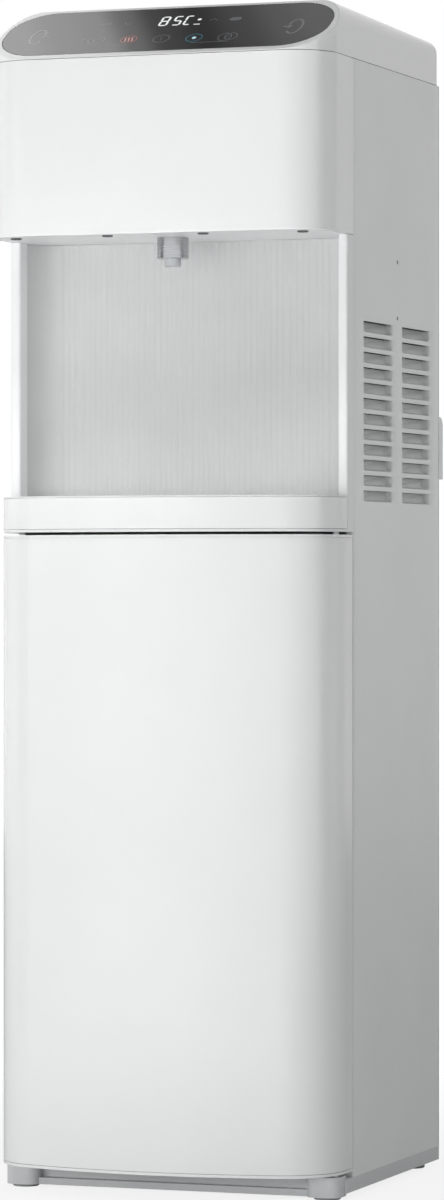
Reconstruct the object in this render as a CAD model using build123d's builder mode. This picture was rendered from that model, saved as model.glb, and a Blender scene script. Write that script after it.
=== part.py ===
from build123d import *
import os
from math import atan2, cos, pi, radians, sin, tan

# Floor-standing water cooler that takes its bottle behind a door below. Millimetres.
# X runs to the right seen from the front, Y to the back, Z up. The origin lies on the
# floor under the middle of the whole cooler, its bowed door and its rear grip included.

os.makedirs("parts", exist_ok=True)

# Overall sizes, front to back
WIDTH = 320.0
BOTTLE_SPACE_DEPTH = 312.0
BOTTLE_BACK_ROOM = 25.0
HEAD_DEPTH = BOTTLE_SPACE_DEPTH + BOTTLE_BACK_ROOM
DOOR_PROUD = 7.5
GRIP_PROUD = 12.0

# Heights, one above the other from the floor
FOOT_H = 2.5
BASE_H = 15.0
DOOR_LIFT = 5.5
DOOR_H = 561.0
DOOR_GAP = 2.5
TRAY_BAND_H = 32.0
NICHE_H = 230.0
HEAD_H = 156.5
COVER_H = 52.0

# Where things start behind the flat front of the head
PANEL_SETBACK = 85.0
DOOR_SIDE_GAP = 3.5
FRAME_SETBACK = 68.0
NICHE_SETBACK = 114.0

# Walls, plays and cuts
SHEET = 1.0
WALL = 3.0
LINER_WALL = 2.0
SEAM_GAP = 0.5
SEAT = 0.2
PLAY = 0.3
PIN_PLAY = 0.05
OVERRUN = 2.0
LOFT_OVERRUN = 20.0

# Round corners in plan and the bowed front, whose corners start at a set depth
BOW_CORNER_R = 56.0
BOW_CORNER_DEPTH = 69.79
HEAD_CORNER_R = 41.0

# The sloping control face and the lid behind it
SLOPE_ANGLE = 32.0
RIDGE_SETBACK = 82.0
REAR_DROP = 11.0
RIDGE_ROLL_R = 30.0
REAR_ROLL_R = 12.0
SLOPE_WALL = 4.5

# Louvres of the side panels
LOUVRE_MARGIN = 28.25
LOUVRE_H = 10.0
LOUVRE_DEEP = 5.5
LOUVRE_PITCH = 13.7
LOUVRE_ROWS = 12
LOUVRE_COLUMN_GAP = 27.5
LOUVRE_MID_RISE = 75.8

# Hinge of the door and pocket of the rear grip
HINGE_INSET = 8.0
HINGE_SETBACK = 58.0
HINGE_PIN_R = 3.0

# Shelves, tanks and fan, and the room around them
SHELF_T = 1.5
SHELF_FRONT_SETBACK = 118.0
FOAM = 20.0
HOT_TANK_R = 46.0
HEATER_T = 3.0
COLD_SIDE_GAP = 7.0
HOT_SIDE_GAP = 22.0
TANK_GAP = 31.0
TANK_FRONT_GAP = 5.0
TANK_BACK_GAP = 2.0
COLD_LIFT = 20.0
COLD_HEADROOM = 53.0
HOT_LIFT = 16.0
HOT_HEADROOM = 97.0
HOT_FORWARD = 3.0
DRAIN_RISE = 20.5
FAN_SIZE = 92.0
FAN_DEPTH = 25.0
FAN_DROP = 96.5
SINK_D = 22.0
MODULE_T = 4.0
HOSE_R = 4.0
HOSE_BORE_R = 2.5

# Places that follow from the sizes above
HALF_W = WIDTH / 2
FRONT_Y = DOOR_PROUD - (HEAD_DEPTH + DOOR_PROUD + GRIP_PROUD) / 2
BACK_Y = FRONT_Y + HEAD_DEPTH
BASE_TOP = FOOT_H + BASE_H
DOOR_Z = BASE_TOP + DOOR_LIFT
DOOR_TOP = DOOR_Z + DOOR_H
BAY_Z = DOOR_TOP + DOOR_GAP
NICHE_Z = BAY_Z + TRAY_BAND_H
HEAD_Z = NICHE_Z + NICHE_H
SEAM_Z = HEAD_Z + HEAD_H
TOP_Z = SEAM_Z + COVER_H
PANEL_Y = FRONT_Y + PANEL_SETBACK
DOOR_BACK_Y = PANEL_Y - DOOR_SIDE_GAP
FRAME_Y = FRONT_Y + FRAME_SETBACK
NICHE_Y = FRONT_Y + NICHE_SETBACK
INSIDE_BACK_Y = BACK_Y - SHEET
HINGE_X = HALF_W - HINGE_INSET
HINGE_Y = FRONT_Y + HINGE_SETBACK
BOW_CORNER_X = HALF_W - BOW_CORNER_R
BOW_R = (BOW_CORNER_X**2 + BOW_CORNER_DEPTH**2 - BOW_CORNER_R**2) / (
    2 * (BOW_CORNER_DEPTH - BOW_CORNER_R)
)
PANEL_MID_Y = (PANEL_Y + BACK_Y) / 2
LOUVRE_L = (BACK_Y - PANEL_Y - LOUVRE_COLUMN_GAP) / 2 - LOUVRE_MARGIN
LOUVRE_COLUMN_PITCH = LOUVRE_L + LOUVRE_COLUMN_GAP
LOUVRE_MID_Z = NICHE_Z + LOUVRE_MID_RISE

# The cold tank in its foam fills what the hot tank leaves of the width, or else the depth
SHELF_TOP = DOOR_TOP + SHELF_T
FAN_Z = HEAD_Z - FAN_DROP
BLOCK_BACK_Y = INSIDE_BACK_Y - FAN_DEPTH - SINK_D - MODULE_T
SHELF_FRONT_Y = FRONT_Y + SHELF_FRONT_SETBACK
COLD_WIDTH_ROOM = (
    WIDTH - 2 * SHEET - COLD_SIDE_GAP - TANK_GAP - 2 * (HOT_TANK_R + HEATER_T) - HOT_SIDE_GAP
)
COLD_DEPTH_ROOM = BLOCK_BACK_Y - TANK_BACK_GAP - SHELF_FRONT_Y - TANK_FRONT_GAP
COLD_TANK_R = min(COLD_WIDTH_ROOM, COLD_DEPTH_ROOM) / 2 - FOAM
COLD_X = SHEET + COLD_SIDE_GAP + FOAM + COLD_TANK_R - HALF_W
COLD_Y = BLOCK_BACK_Y - TANK_BACK_GAP - FOAM - COLD_TANK_R
COLD_Z = SHELF_TOP + COLD_LIFT
COLD_TOP = HEAD_Z - COLD_HEADROOM
COLD_TANK_H = COLD_TOP - COLD_Z
HOT_X = HALF_W - SHEET - HOT_SIDE_GAP - HEATER_T - HOT_TANK_R
HOT_Y = COLD_Y - HOT_FORWARD
HOT_Z = SHELF_TOP + HOT_LIFT
HOT_TOP = HEAD_Z - HOT_HEADROOM
HOT_TANK_H = HOT_TOP - HOT_Z
DRAIN_Z = SHELF_TOP + DRAIN_RISE


def bowed_plan(inset, back_y):
    """Plan of the bowed front, drawn inset from its outside and square at back_y."""
    bow_y = FRONT_Y - DOOR_PROUD + BOW_R
    corner_y = FRONT_Y - DOOR_PROUD + BOW_CORNER_DEPTH
    lean = atan2(BOW_CORNER_X, bow_y - corner_y)
    middle = (lean + pi / 2) / 2
    r = BOW_CORNER_R - inset

    def corner_point(side, angle):
        return (side * (BOW_CORNER_X + sin(angle) * r), corner_y - cos(angle) * r)

    left, right = -1, 1
    with BuildSketch() as plan:
        with BuildLine():
            ThreePointArc(
                corner_point(left, lean),
                (0, bow_y - BOW_R + inset),
                corner_point(right, lean),
            )
            ThreePointArc(
                corner_point(right, lean),
                corner_point(right, middle),
                corner_point(right, pi / 2),
            )
            Polyline(
                corner_point(right, pi / 2),
                (HALF_W - inset, back_y),
                (inset - HALF_W, back_y),
                corner_point(left, pi / 2),
            )
            ThreePointArc(
                corner_point(left, pi / 2),
                corner_point(left, middle),
                corner_point(left, lean),
            )
        make_face()
    return plan.sketch


def head_plan(inset, back_y):
    """Plan of the flat-fronted head, drawn inset from its outside and square at back_y."""
    with BuildSketch() as plan:
        with Locations((0, (FRONT_Y + inset + back_y) / 2)):
            Rectangle(WIDTH - 2 * inset, back_y - FRONT_Y - inset)
        fillet(plan.vertices().group_by(Axis.Y)[0], HEAD_CORNER_R - inset)
    return plan.sketch


def hose(points, radii):
    """Hose with its bore along straight runs and tangent arcs."""
    with BuildPart() as tube:
        with BuildLine() as path:
            FilletPolyline(*points, radius=radii)
        with BuildSketch(Plane(origin=path.line @ 0, z_dir=path.line % 0)):
            Circle(HOSE_R)
            Circle(HOSE_BORE_R, mode=Mode.SUBTRACT)
        sweep()
    return tube.part


def write(part, name):
    """Labels one piece and writes it under the same name."""
    part.label = name
    export_step(part, "parts/" + name + ".step")


# Base: a shallow moulded tray, open and ribbed below, with a low bar in front and a raised
# boss at each front corner. The right boss carries the lower hinge pin.
SKIRT_LIFT = 2.5
BASE_SETBACK = 65.0
BAR_SETBACK = 55.0
BAR_H = 6.0
BOSS_W = 31.0
BOSS_INSET = 2.0
BOSS_SETBACK = 48.0
BOSS_D = 30.0
BOSS_RISE = 3.0
BOSS_R = 9.0
BASE_FLOOR = 3.0
BASE_RIB = 3.0
BASE_RIB_COLUMNS = 4
BASE_RIB_ROWS = 3
FOOT_R = 12.0
FOOT_INSET = 17.0
FOOT_BACK_INSET = 30.0
FOOT_CHAMFER = 0.8
PIN_SINK = 12.0
base_front_y = FRONT_Y + BASE_SETBACK
base_depth = BACK_Y - base_front_y
boss_y = FRONT_Y + BOSS_SETBACK + BOSS_D / 2
boss_x = HALF_W - BOSS_INSET - BOSS_W / 2
boss_top = BASE_TOP + BOSS_RISE
skirt_z = FOOT_H + SKIRT_LIFT
foot_front_y = boss_y
foot_back_y = BACK_Y - FOOT_BACK_INSET
foot_x = HALF_W - FOOT_INSET
pocket_w = (WIDTH - (BASE_RIB_COLUMNS + 1) * BASE_RIB) / BASE_RIB_COLUMNS
pocket_d = (base_depth - (BASE_RIB_ROWS + 1) * BASE_RIB) / BASE_RIB_ROWS
with BuildPart() as base_plinth:
    with BuildSketch(Plane.XY.offset(skirt_z)):
        with Locations((0, base_front_y + base_depth / 2)):
            Rectangle(WIDTH, base_depth)
    extrude(amount=BASE_TOP - skirt_z)
    with BuildSketch(Plane.XY.offset(skirt_z)):
        with Locations((0, base_front_y + base_depth / 2)):
            with GridLocations(
                pocket_w + BASE_RIB, pocket_d + BASE_RIB, BASE_RIB_COLUMNS, BASE_RIB_ROWS
            ):
                Rectangle(pocket_w, pocket_d)
    extrude(amount=BASE_TOP - skirt_z - BASE_FLOOR, mode=Mode.SUBTRACT)
    with BuildSketch(Plane.XY.offset(FOOT_H)):
        with Locations((0, (FRONT_Y + BAR_SETBACK + base_front_y) / 2)):
            Rectangle(2 * boss_x, BASE_SETBACK - BAR_SETBACK)
    extrude(amount=BAR_H)
    with BuildSketch(Plane.XY.offset(FOOT_H)):
        with Locations((-boss_x, boss_y), (boss_x, boss_y)):
            RectangleRounded(BOSS_W, BOSS_D, BOSS_R)
    extrude(amount=boss_top - FOOT_H)
    with BuildSketch(Plane.XY.offset(FOOT_H)):
        with Locations((-foot_x, foot_back_y), (foot_x, foot_back_y)):
            Circle(FOOT_R)
    extrude(amount=BASE_TOP - FOOT_H)
    with BuildSketch(Plane.XY.offset(boss_top)):
        with Locations((HINGE_X, HINGE_Y)):
            Circle(HINGE_PIN_R + PIN_PLAY)
    extrude(amount=-PIN_SINK, mode=Mode.SUBTRACT)
write(base_plinth.part, "base_plinth")

# Four round rubber pads under the bosses
with BuildPart() as base_feet:
    with BuildSketch():
        with Locations(
            (-foot_x, foot_front_y),
            (foot_x, foot_front_y),
            (-foot_x, foot_back_y),
            (foot_x, foot_back_y),
        ):
            Circle(FOOT_R)
    extrude(amount=FOOT_H)
    chamfer(base_feet.edges().group_by(Axis.Z)[0], FOOT_CHAMFER)
write(base_feet.part, "base_feet")

# Side panel: one folded sheet with a return at the front and the back. Each louvre is a
# tongue pressed inwards from its lower edge, with closed ends, so its mouth is on top.
FRONT_FLANGE = 6.0
REAR_FLANGE = 12.0
RIVET_R = 1.8
SHELF_RIVET_DROP = 15.9
STRAP_RIVET_DROP = 13.8
SCREW_R = 1.5
SCREW_EDGE = 7.0
SCREW_ROWS = 4
panel_top = SEAM_Z - SEAM_GAP
rear_screw_pitch = (panel_top - BASE_TOP - 4 * SCREW_EDGE) / (SCREW_ROWS - 1)
rear_mid_z = (BASE_TOP + panel_top) / 2
rivet_places = [
    (PANEL_MID_Y, HEAD_Z - SHELF_RIVET_DROP),
    (PANEL_MID_Y, COLD_TOP - STRAP_RIVET_DROP),
]
with BuildPart() as side_panel_right:
    with BuildSketch(Plane.XY.offset(BASE_TOP)):
        with Locations((HALF_W - SHEET / 2, (PANEL_Y + INSIDE_BACK_Y) / 2)):
            Rectangle(SHEET, INSIDE_BACK_Y - PANEL_Y)
        with Locations((HALF_W - FRONT_FLANGE / 2 - SHEET / 2, PANEL_Y + SHEET / 2)):
            Rectangle(FRONT_FLANGE + SHEET, SHEET)
        with Locations((HALF_W - REAR_FLANGE / 2 - SHEET / 2, INSIDE_BACK_Y - SHEET / 2)):
            Rectangle(REAR_FLANGE + SHEET, SHEET)
    extrude(amount=panel_top - BASE_TOP)
    with BuildSketch(Plane.YZ.offset(HALF_W)):
        with Locations((PANEL_MID_Y, LOUVRE_MID_Z)):
            with GridLocations(LOUVRE_COLUMN_PITCH, LOUVRE_PITCH, 2, LOUVRE_ROWS):
                Rectangle(LOUVRE_L, LOUVRE_H)
        with Locations(*rivet_places):
            Circle(RIVET_R + PIN_PLAY)
    extrude(amount=-SHEET, mode=Mode.SUBTRACT)
    with BuildSketch(Plane.XZ.offset(-INSIDE_BACK_Y)):
        with Locations((HALF_W - SCREW_EDGE, rear_mid_z)):
            with GridLocations(SCREW_EDGE, rear_screw_pitch, 1, SCREW_ROWS):
                Circle(SCREW_R + PIN_PLAY)
    extrude(amount=SHEET, mode=Mode.SUBTRACT)
    for column in (-1, 1):
        louvre_y = PANEL_MID_Y + column * LOUVRE_COLUMN_PITCH / 2 - LOUVRE_L / 2
        with BuildSketch(Plane.XZ.offset(-louvre_y)):
            with Locations((HALF_W, LOUVRE_MID_Z - LOUVRE_H / 2)):
                with GridLocations(LOUVRE_PITCH, LOUVRE_PITCH, 1, LOUVRE_ROWS):
                    Polygon(
                        (0, 0),
                        (-LOUVRE_DEEP, LOUVRE_H),
                        (-LOUVRE_DEEP - SHEET, LOUVRE_H),
                        (-SHEET, 0),
                        align=None,
                    )
        extrude(amount=-LOUVRE_L)
        for end_y in (louvre_y, louvre_y + LOUVRE_L - SHEET):
            with BuildSketch(Plane.XZ.offset(-end_y)):
                with Locations((HALF_W, LOUVRE_MID_Z - LOUVRE_H / 2)):
                    with GridLocations(LOUVRE_PITCH, LOUVRE_PITCH, 1, LOUVRE_ROWS):
                        Polygon((0, 0), (0, LOUVRE_H), (-LOUVRE_DEEP, LOUVRE_H), align=None)
            extrude(amount=-SHEET)
write(side_panel_right.part, "side_panel_right")

with BuildPart() as side_panel_left:
    add(mirror(side_panel_right.part, about=Plane.YZ, mode=Mode.PRIVATE))
write(side_panel_left.part, "side_panel_left")

# Rear grip: a hooked bar across the back, proud of the panel, with a finger bucket behind it
# that opens below the bar.
GRIP_RISE = 20.0
GRIP_H = 58.0
GRIP_ROUND_R = 9.0
BUCKET_DRAIN_GAP = 28.0
BUCKET_DEEP = 24.0
BUCKET_DROP = 34.0
BUCKET_WALL = 2.0
GRIP_WALL = 3.0
bucket_w = 2 * (HOT_X - BUCKET_DRAIN_GAP)
grip_z = NICHE_Z + GRIP_RISE
bucket_z = grip_z - BUCKET_DROP
bucket_top = grip_z + GRIP_H - SHEET
bucket_mid_z = (bucket_z + bucket_top) / 2
grip_hollow_mid = (BACK_Y + (GRIP_PROUD - GRIP_WALL) / 2, grip_z + (GRIP_H - GRIP_WALL) / 2)
with BuildPart() as rear_handle:
    with BuildSketch(Plane.YZ.offset(-HALF_W)) as grip_outside:
        with Locations((BACK_Y + GRIP_PROUD / 2, grip_z + GRIP_H / 2)):
            Rectangle(GRIP_PROUD, GRIP_H)
        fillet(grip_outside.vertices().group_by(Axis.X)[-1].sort_by(Axis.Y)[-1], GRIP_ROUND_R)
    extrude(amount=WIDTH)
    with BuildSketch(Plane.YZ.offset(GRIP_WALL - HALF_W)) as grip_hollow:
        with Locations(grip_hollow_mid):
            Rectangle(GRIP_PROUD - GRIP_WALL, GRIP_H - GRIP_WALL)
        fillet(
            grip_hollow.vertices().group_by(Axis.X)[-1].sort_by(Axis.Y)[-1],
            GRIP_ROUND_R - GRIP_WALL,
        )
    extrude(amount=WIDTH - 2 * GRIP_WALL, mode=Mode.SUBTRACT)
    with BuildSketch(Plane.XZ.offset(-BACK_Y)):
        with Locations((0, bucket_mid_z)):
            Rectangle(bucket_w, bucket_top - bucket_z)
    extrude(amount=BUCKET_DEEP)
    with BuildSketch(Plane.XZ.offset(-BACK_Y)):
        with Locations((0, bucket_mid_z)):
            Rectangle(bucket_w - 2 * BUCKET_WALL, bucket_top - bucket_z - 2 * BUCKET_WALL)
    extrude(amount=BUCKET_DEEP - BUCKET_WALL, mode=Mode.SUBTRACT)
write(rear_handle.part, "rear_handle")

# Back panel: one sheet with fan slots, a window for the grip's bucket, one for the switches,
# and holes for the drain, the cord gland and the screws.
FAN_SLOT_W = 84.0
FAN_SLOT_H = 5.0
FAN_SLOT_PITCH = 10.0
FAN_SLOT_ROWS = 8
DRAIN_HOLE_R = 7.0
GLAND_INSET = 50.0
GLAND_RISE = 42.5
GLAND_HOLE_R = 8.0
SWITCH_INSET = 64.0
SWITCH_RISE = 51.5
SWITCH_PITCH = 26.0
SWITCH_WINDOW_W = 46.0
SWITCH_WINDOW_H = 26.0
gland_x = GLAND_INSET - HALF_W
gland_z = BASE_TOP + GLAND_RISE
switch_x = HALF_W - SWITCH_INSET
switch_z = HEAD_Z + SWITCH_RISE
with BuildPart() as rear_panel:
    with BuildSketch(Plane.XZ.offset(-BACK_Y)):
        with Locations((0, rear_mid_z)):
            Rectangle(WIDTH, panel_top - BASE_TOP)
        with Locations((COLD_X, FAN_Z)):
            with GridLocations(FAN_SLOT_W, FAN_SLOT_PITCH, 1, FAN_SLOT_ROWS):
                Rectangle(FAN_SLOT_W, FAN_SLOT_H, mode=Mode.SUBTRACT)
        with Locations((0, bucket_mid_z)):
            Rectangle(bucket_w + 2 * SEAT, bucket_top - bucket_z + 2 * SEAT, mode=Mode.SUBTRACT)
        with Locations((switch_x, switch_z)):
            Rectangle(SWITCH_WINDOW_W, SWITCH_WINDOW_H, mode=Mode.SUBTRACT)
        with Locations((HOT_X, DRAIN_Z)):
            Circle(DRAIN_HOLE_R, mode=Mode.SUBTRACT)
        with Locations((gland_x, gland_z)):
            Circle(GLAND_HOLE_R, mode=Mode.SUBTRACT)
        with Locations((0, rear_mid_z)):
            with GridLocations(WIDTH - 2 * SCREW_EDGE, rear_screw_pitch, 2, SCREW_ROWS):
                Circle(SCREW_R + PIN_PLAY, mode=Mode.SUBTRACT)
    extrude(amount=SHEET)
write(rear_panel.part, "rear_panel")

# Pan-head screws that hold the back panel to the returns of the sides
SCREW_HEAD_R = 3.5
SCREW_HEAD_H = 1.8
SCREW_L = 6.0
with BuildPart() as rear_screws:
    with BuildSketch(Plane.XZ.offset(-BACK_Y)):
        with Locations((0, rear_mid_z)):
            with GridLocations(WIDTH - 2 * SCREW_EDGE, rear_screw_pitch, 2, SCREW_ROWS):
                Circle(SCREW_HEAD_R)
    extrude(amount=-SCREW_HEAD_H)
    with BuildSketch(Plane.XZ.offset(-BACK_Y)):
        with Locations((0, rear_mid_z)):
            with GridLocations(WIDTH - 2 * SCREW_EDGE, rear_screw_pitch, 2, SCREW_ROWS):
                Circle(SCREW_R)
    extrude(amount=SCREW_L)
write(rear_screws.part, "rear_screws")

# Flush rivets of the two inner brackets, two on each side
with BuildPart() as panel_rivets:
    with BuildSketch(Plane.YZ.offset(HALF_W - SHEET)):
        with Locations(*rivet_places):
            Circle(RIVET_R)
    extrude(amount=SHEET)
    mirror(about=Plane.YZ)
write(panel_rivets.part, "panel_rivets")

# Front frame: a strip on each side of the niche and, below it, the open bay that the drip
# tray slides into. Its lower plate shows as the thin lip under the tray.
STRIP_W = 9.0
STRIP_ROUND_R = 2.5
LIP_H = 2.5
BAY_WALL = 2.0
LINER_BACK_T = 3.5
bay_half = HALF_W - STRIP_W
bay_back_y = NICHE_Y + LINER_BACK_T
bay_plan = bowed_plan(0, PANEL_Y)
with BuildPart() as front_frame:
    with BuildSketch(Plane.XY.offset(BAY_Z)):
        add(bay_plan)
        with Locations((0, (FRAME_Y + bay_back_y) / 2)):
            Rectangle(2 * (bay_half + BAY_WALL), bay_back_y - FRAME_Y)
        with Locations((HINGE_X, HINGE_Y)):
            Circle(HINGE_PIN_R + PIN_PLAY, mode=Mode.SUBTRACT)
    extrude(amount=LIP_H)
    with BuildSketch(Plane.XY.offset(BAY_Z)):
        for side in (-1, 1):
            with Locations((side * (HALF_W - STRIP_W / 2), (FRAME_Y + PANEL_Y) / 2)):
                Rectangle(STRIP_W, PANEL_Y - FRAME_Y)
    extrude(amount=HEAD_Z - SEAT - BAY_Z)
    with BuildSketch(Plane.XY.offset(BAY_Z)):
        for side in (-1, 1):
            with Locations((side * (bay_half + BAY_WALL / 2), (FRAME_Y + bay_back_y) / 2)):
                Rectangle(BAY_WALL, bay_back_y - FRAME_Y)
        with Locations((0, (NICHE_Y + bay_back_y) / 2)):
            Rectangle(2 * (bay_half + BAY_WALL), bay_back_y - NICHE_Y)
    extrude(amount=TRAY_BAND_H)
    strip_edges = (
        front_frame.edges()
        .filter_by(Axis.Z)
        .filter_by_position(Axis.Y, FRAME_Y - SEAT, FRAME_Y + SEAT)
        .filter_by(lambda edge: edge.length > NICHE_H)
    )
    fillet(strip_edges, STRIP_ROUND_R)
write(front_frame.part, "front_frame")

# Niche wall: a fluted flat back with an elliptical cheek to each side strip
CHEEK_W = 21.0
QUARTER_TURN = 90.0
FLUTE_PITCH = 6.0
FLUTE_R = 3.6
FLUTE_DEEP = 1.0
flute_half_w = bay_half - CHEEK_W
cheek_d = NICHE_Y - PANEL_Y
outer_w = CHEEK_W + LINER_WALL
outer_d = cheek_d + LINER_BACK_T
flute_count = int(2 * flute_half_w / FLUTE_PITCH)
with BuildPart() as niche_liner:
    with BuildSketch(Plane.XY.offset(NICHE_Z)):
        with BuildLine():
            inner_right = EllipticalCenterArc(
                (flute_half_w, PANEL_Y), CHEEK_W, cheek_d, start_angle=0, arc_size=QUARTER_TURN
            )
            outer_right = EllipticalCenterArc(
                (flute_half_w, PANEL_Y), outer_w, outer_d, start_angle=0, arc_size=QUARTER_TURN
            )
            inner_left = EllipticalCenterArc(
                (-flute_half_w, PANEL_Y), CHEEK_W, cheek_d, start_angle=QUARTER_TURN, arc_size=QUARTER_TURN
            )
            outer_left = EllipticalCenterArc(
                (-flute_half_w, PANEL_Y), outer_w, outer_d, start_angle=QUARTER_TURN, arc_size=QUARTER_TURN
            )
            Line(outer_right @ 0, inner_right @ 0)
            Line(inner_right @ 1, inner_left @ 0)
            Line(inner_left @ 1, outer_left @ 1)
            Line(outer_left @ 0, outer_right @ 1)
        make_face()
        with Locations((0, NICHE_Y + FLUTE_DEEP - FLUTE_R)):
            with GridLocations(FLUTE_PITCH, FLUTE_PITCH, flute_count, 1):
                Circle(FLUTE_R, mode=Mode.SUBTRACT)
    extrude(amount=NICHE_H - SEAT)
write(niche_liner.part, "niche_liner")

# Head: a bowl-shaped front shell, open below, above and behind
HEAD_EDGE_R = 1.5
head_outer = head_plan(0, PANEL_Y)
head_inner = head_plan(WALL, PANEL_Y + OVERRUN)
with BuildPart() as head_shell:
    with BuildSketch(Plane.XY.offset(HEAD_Z)):
        add(head_outer)
    extrude(amount=panel_top - HEAD_Z)
    fillet(head_shell.edges().group_by(Axis.Z)[0].sort_by(Axis.Y)[:-1], HEAD_EDGE_R)
    with BuildSketch(Plane.XY.offset(HEAD_Z)):
        add(head_inner)
    extrude(amount=panel_top - HEAD_Z, mode=Mode.SUBTRACT)
write(head_shell.part, "head_shell")

# Outlet deck: the plate set into the underside of the head, with recesses for its screws,
# a hole for the outlet and one for the lamp in front
DECK_T = 3.5
DECK_BACK_SETBACK = 119.0
DECK_SCREW_INSET = 25.0
DECK_SCREW_OUTER_SETBACK = 20.0
DECK_SCREW_INNER_X = 45.0
DECK_SCREW_INNER_SETBACK = 13.0
DECK_RECESS_R = 4.0
DECK_RECESS_DEEP = 2.0
NOZZLE_SETBACK = 57.5
NOZZLE_NECK_R = 10.0
LAMP_R = 3.5
LAMP_SETBACK = 11.0
DRIP_HOLE_R = 1.5
DRIP_HOLE_X = 11.5
DRIP_HOLE_SETBACK = 88.0
nozzle_y = FRONT_Y + NOZZLE_SETBACK
deck_back_y = FRONT_Y + DECK_BACK_SETBACK
deck_screw_outer_x = HALF_W - DECK_SCREW_INSET
deck_outline = head_plan(WALL + SEAT, PANEL_Y - SEAT)
deck_screw_places = [
    (-deck_screw_outer_x, FRONT_Y + DECK_SCREW_OUTER_SETBACK),
    (-DECK_SCREW_INNER_X, FRONT_Y + DECK_SCREW_INNER_SETBACK),
    (DECK_SCREW_INNER_X, FRONT_Y + DECK_SCREW_INNER_SETBACK),
    (deck_screw_outer_x, FRONT_Y + DECK_SCREW_OUTER_SETBACK),
]
with BuildPart() as outlet_deck:
    with BuildSketch(Plane.XY.offset(HEAD_Z)):
        add(deck_outline)
        with Locations((0, (nozzle_y + deck_back_y) / 2)):
            Rectangle(2 * (bay_half + BAY_WALL), deck_back_y - nozzle_y)
        with Locations((0, nozzle_y)):
            Circle(NOZZLE_NECK_R + SEAT, mode=Mode.SUBTRACT)
        with Locations((0, FRONT_Y + LAMP_SETBACK)):
            Circle(LAMP_R + PIN_PLAY, mode=Mode.SUBTRACT)
        with Locations((DRIP_HOLE_X, FRONT_Y + DRIP_HOLE_SETBACK)):
            Circle(DRIP_HOLE_R, mode=Mode.SUBTRACT)
        with Locations(*deck_screw_places):
            Circle(SCREW_R + PIN_PLAY, mode=Mode.SUBTRACT)
    extrude(amount=DECK_T)
    with BuildSketch(Plane.XY.offset(HEAD_Z)):
        with Locations(*deck_screw_places):
            Circle(DECK_RECESS_R)
    extrude(amount=DECK_RECESS_DEEP, mode=Mode.SUBTRACT)
write(outlet_deck.part, "outlet_deck")

# Four screws sunk in the deck's recesses
DECK_SCREW_HEAD_R = 3.0
DECK_SCREW_HEAD_H = 1.6
with BuildPart() as deck_screws:
    with BuildSketch(Plane.XY.offset(HEAD_Z + DECK_RECESS_DEEP)):
        with Locations(*deck_screw_places):
            Circle(DECK_SCREW_HEAD_R)
    extrude(amount=-DECK_SCREW_HEAD_H)
    with BuildSketch(Plane.XY.offset(HEAD_Z + DECK_RECESS_DEEP)):
        with Locations(*deck_screw_places):
            Circle(SCREW_R)
    extrude(amount=DECK_T - DECK_RECESS_DEEP)
write(deck_screws.part, "deck_screws")

# Small clear lens that lights the cup
LAMP_T = 2.0
with BuildPart() as nozzle_lamp:
    with BuildSketch(Plane.XY.offset(HEAD_Z)):
        with Locations((0, FRONT_Y + LAMP_SETBACK)):
            Circle(LAMP_R)
    extrude(amount=LAMP_T)
write(nozzle_lamp.part, "nozzle_lamp")

# Outlet: a metal sleeve under the deck with a clear spout inside it, both turned parts
SLEEVE_R = 14.0
SLEEVE_L = 19.0
SLEEVE_WALL = 1.5
SPOUT_R = 7.5
SPOUT_BORE_R = 4.0
SPOUT_DROP = 6.6
SPOUT_RISE = 14.0
SLEEVE_EDGE = 0.6
with BuildPart() as nozzle_sleeve:
    with BuildSketch(Plane.XZ.offset(-nozzle_y)) as sleeve_section:
        with BuildLine():
            Polyline(
                (SPOUT_R + PIN_PLAY, HEAD_Z - SLEEVE_L),
                (SLEEVE_R, HEAD_Z - SLEEVE_L),
                (SLEEVE_R, HEAD_Z),
                (NOZZLE_NECK_R, HEAD_Z),
                (NOZZLE_NECK_R, HEAD_Z + DECK_T),
                (NOZZLE_NECK_R - SLEEVE_WALL, HEAD_Z + DECK_T),
                (NOZZLE_NECK_R - SLEEVE_WALL, HEAD_Z - SLEEVE_WALL),
                (SLEEVE_R - SLEEVE_WALL, HEAD_Z - SLEEVE_WALL),
                (SLEEVE_R - SLEEVE_WALL, HEAD_Z - SLEEVE_L + SLEEVE_WALL),
                (SPOUT_R + PIN_PLAY, HEAD_Z - SLEEVE_L + SLEEVE_WALL),
                close=True,
            )
        make_face()
        fillet(sleeve_section.vertices().sort_by(Axis.X)[-2:].sort_by(Axis.Y)[0], SLEEVE_EDGE)
    revolve(axis=Axis((0, nozzle_y, 0), (0, 0, 1)))
write(nozzle_sleeve.part, "nozzle_sleeve")

spout_z = HEAD_Z - SLEEVE_L - SPOUT_DROP
with BuildPart() as nozzle_tip:
    with BuildSketch(Plane.XY.offset(spout_z)):
        with Locations((0, nozzle_y)):
            Circle(SPOUT_R)
    extrude(amount=SLEEVE_L + SPOUT_DROP + SPOUT_RISE)
    chamfer(nozzle_tip.edges().group_by(Axis.Z)[0], SLEEVE_EDGE)
    with BuildSketch(Plane.XY.offset(spout_z)):
        with Locations((0, nozzle_y)):
            Circle(SPOUT_BORE_R)
    extrude(amount=SLEEVE_L + SPOUT_DROP + SPOUT_RISE, mode=Mode.SUBTRACT)
write(nozzle_tip.part, "nozzle_tip")

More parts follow.
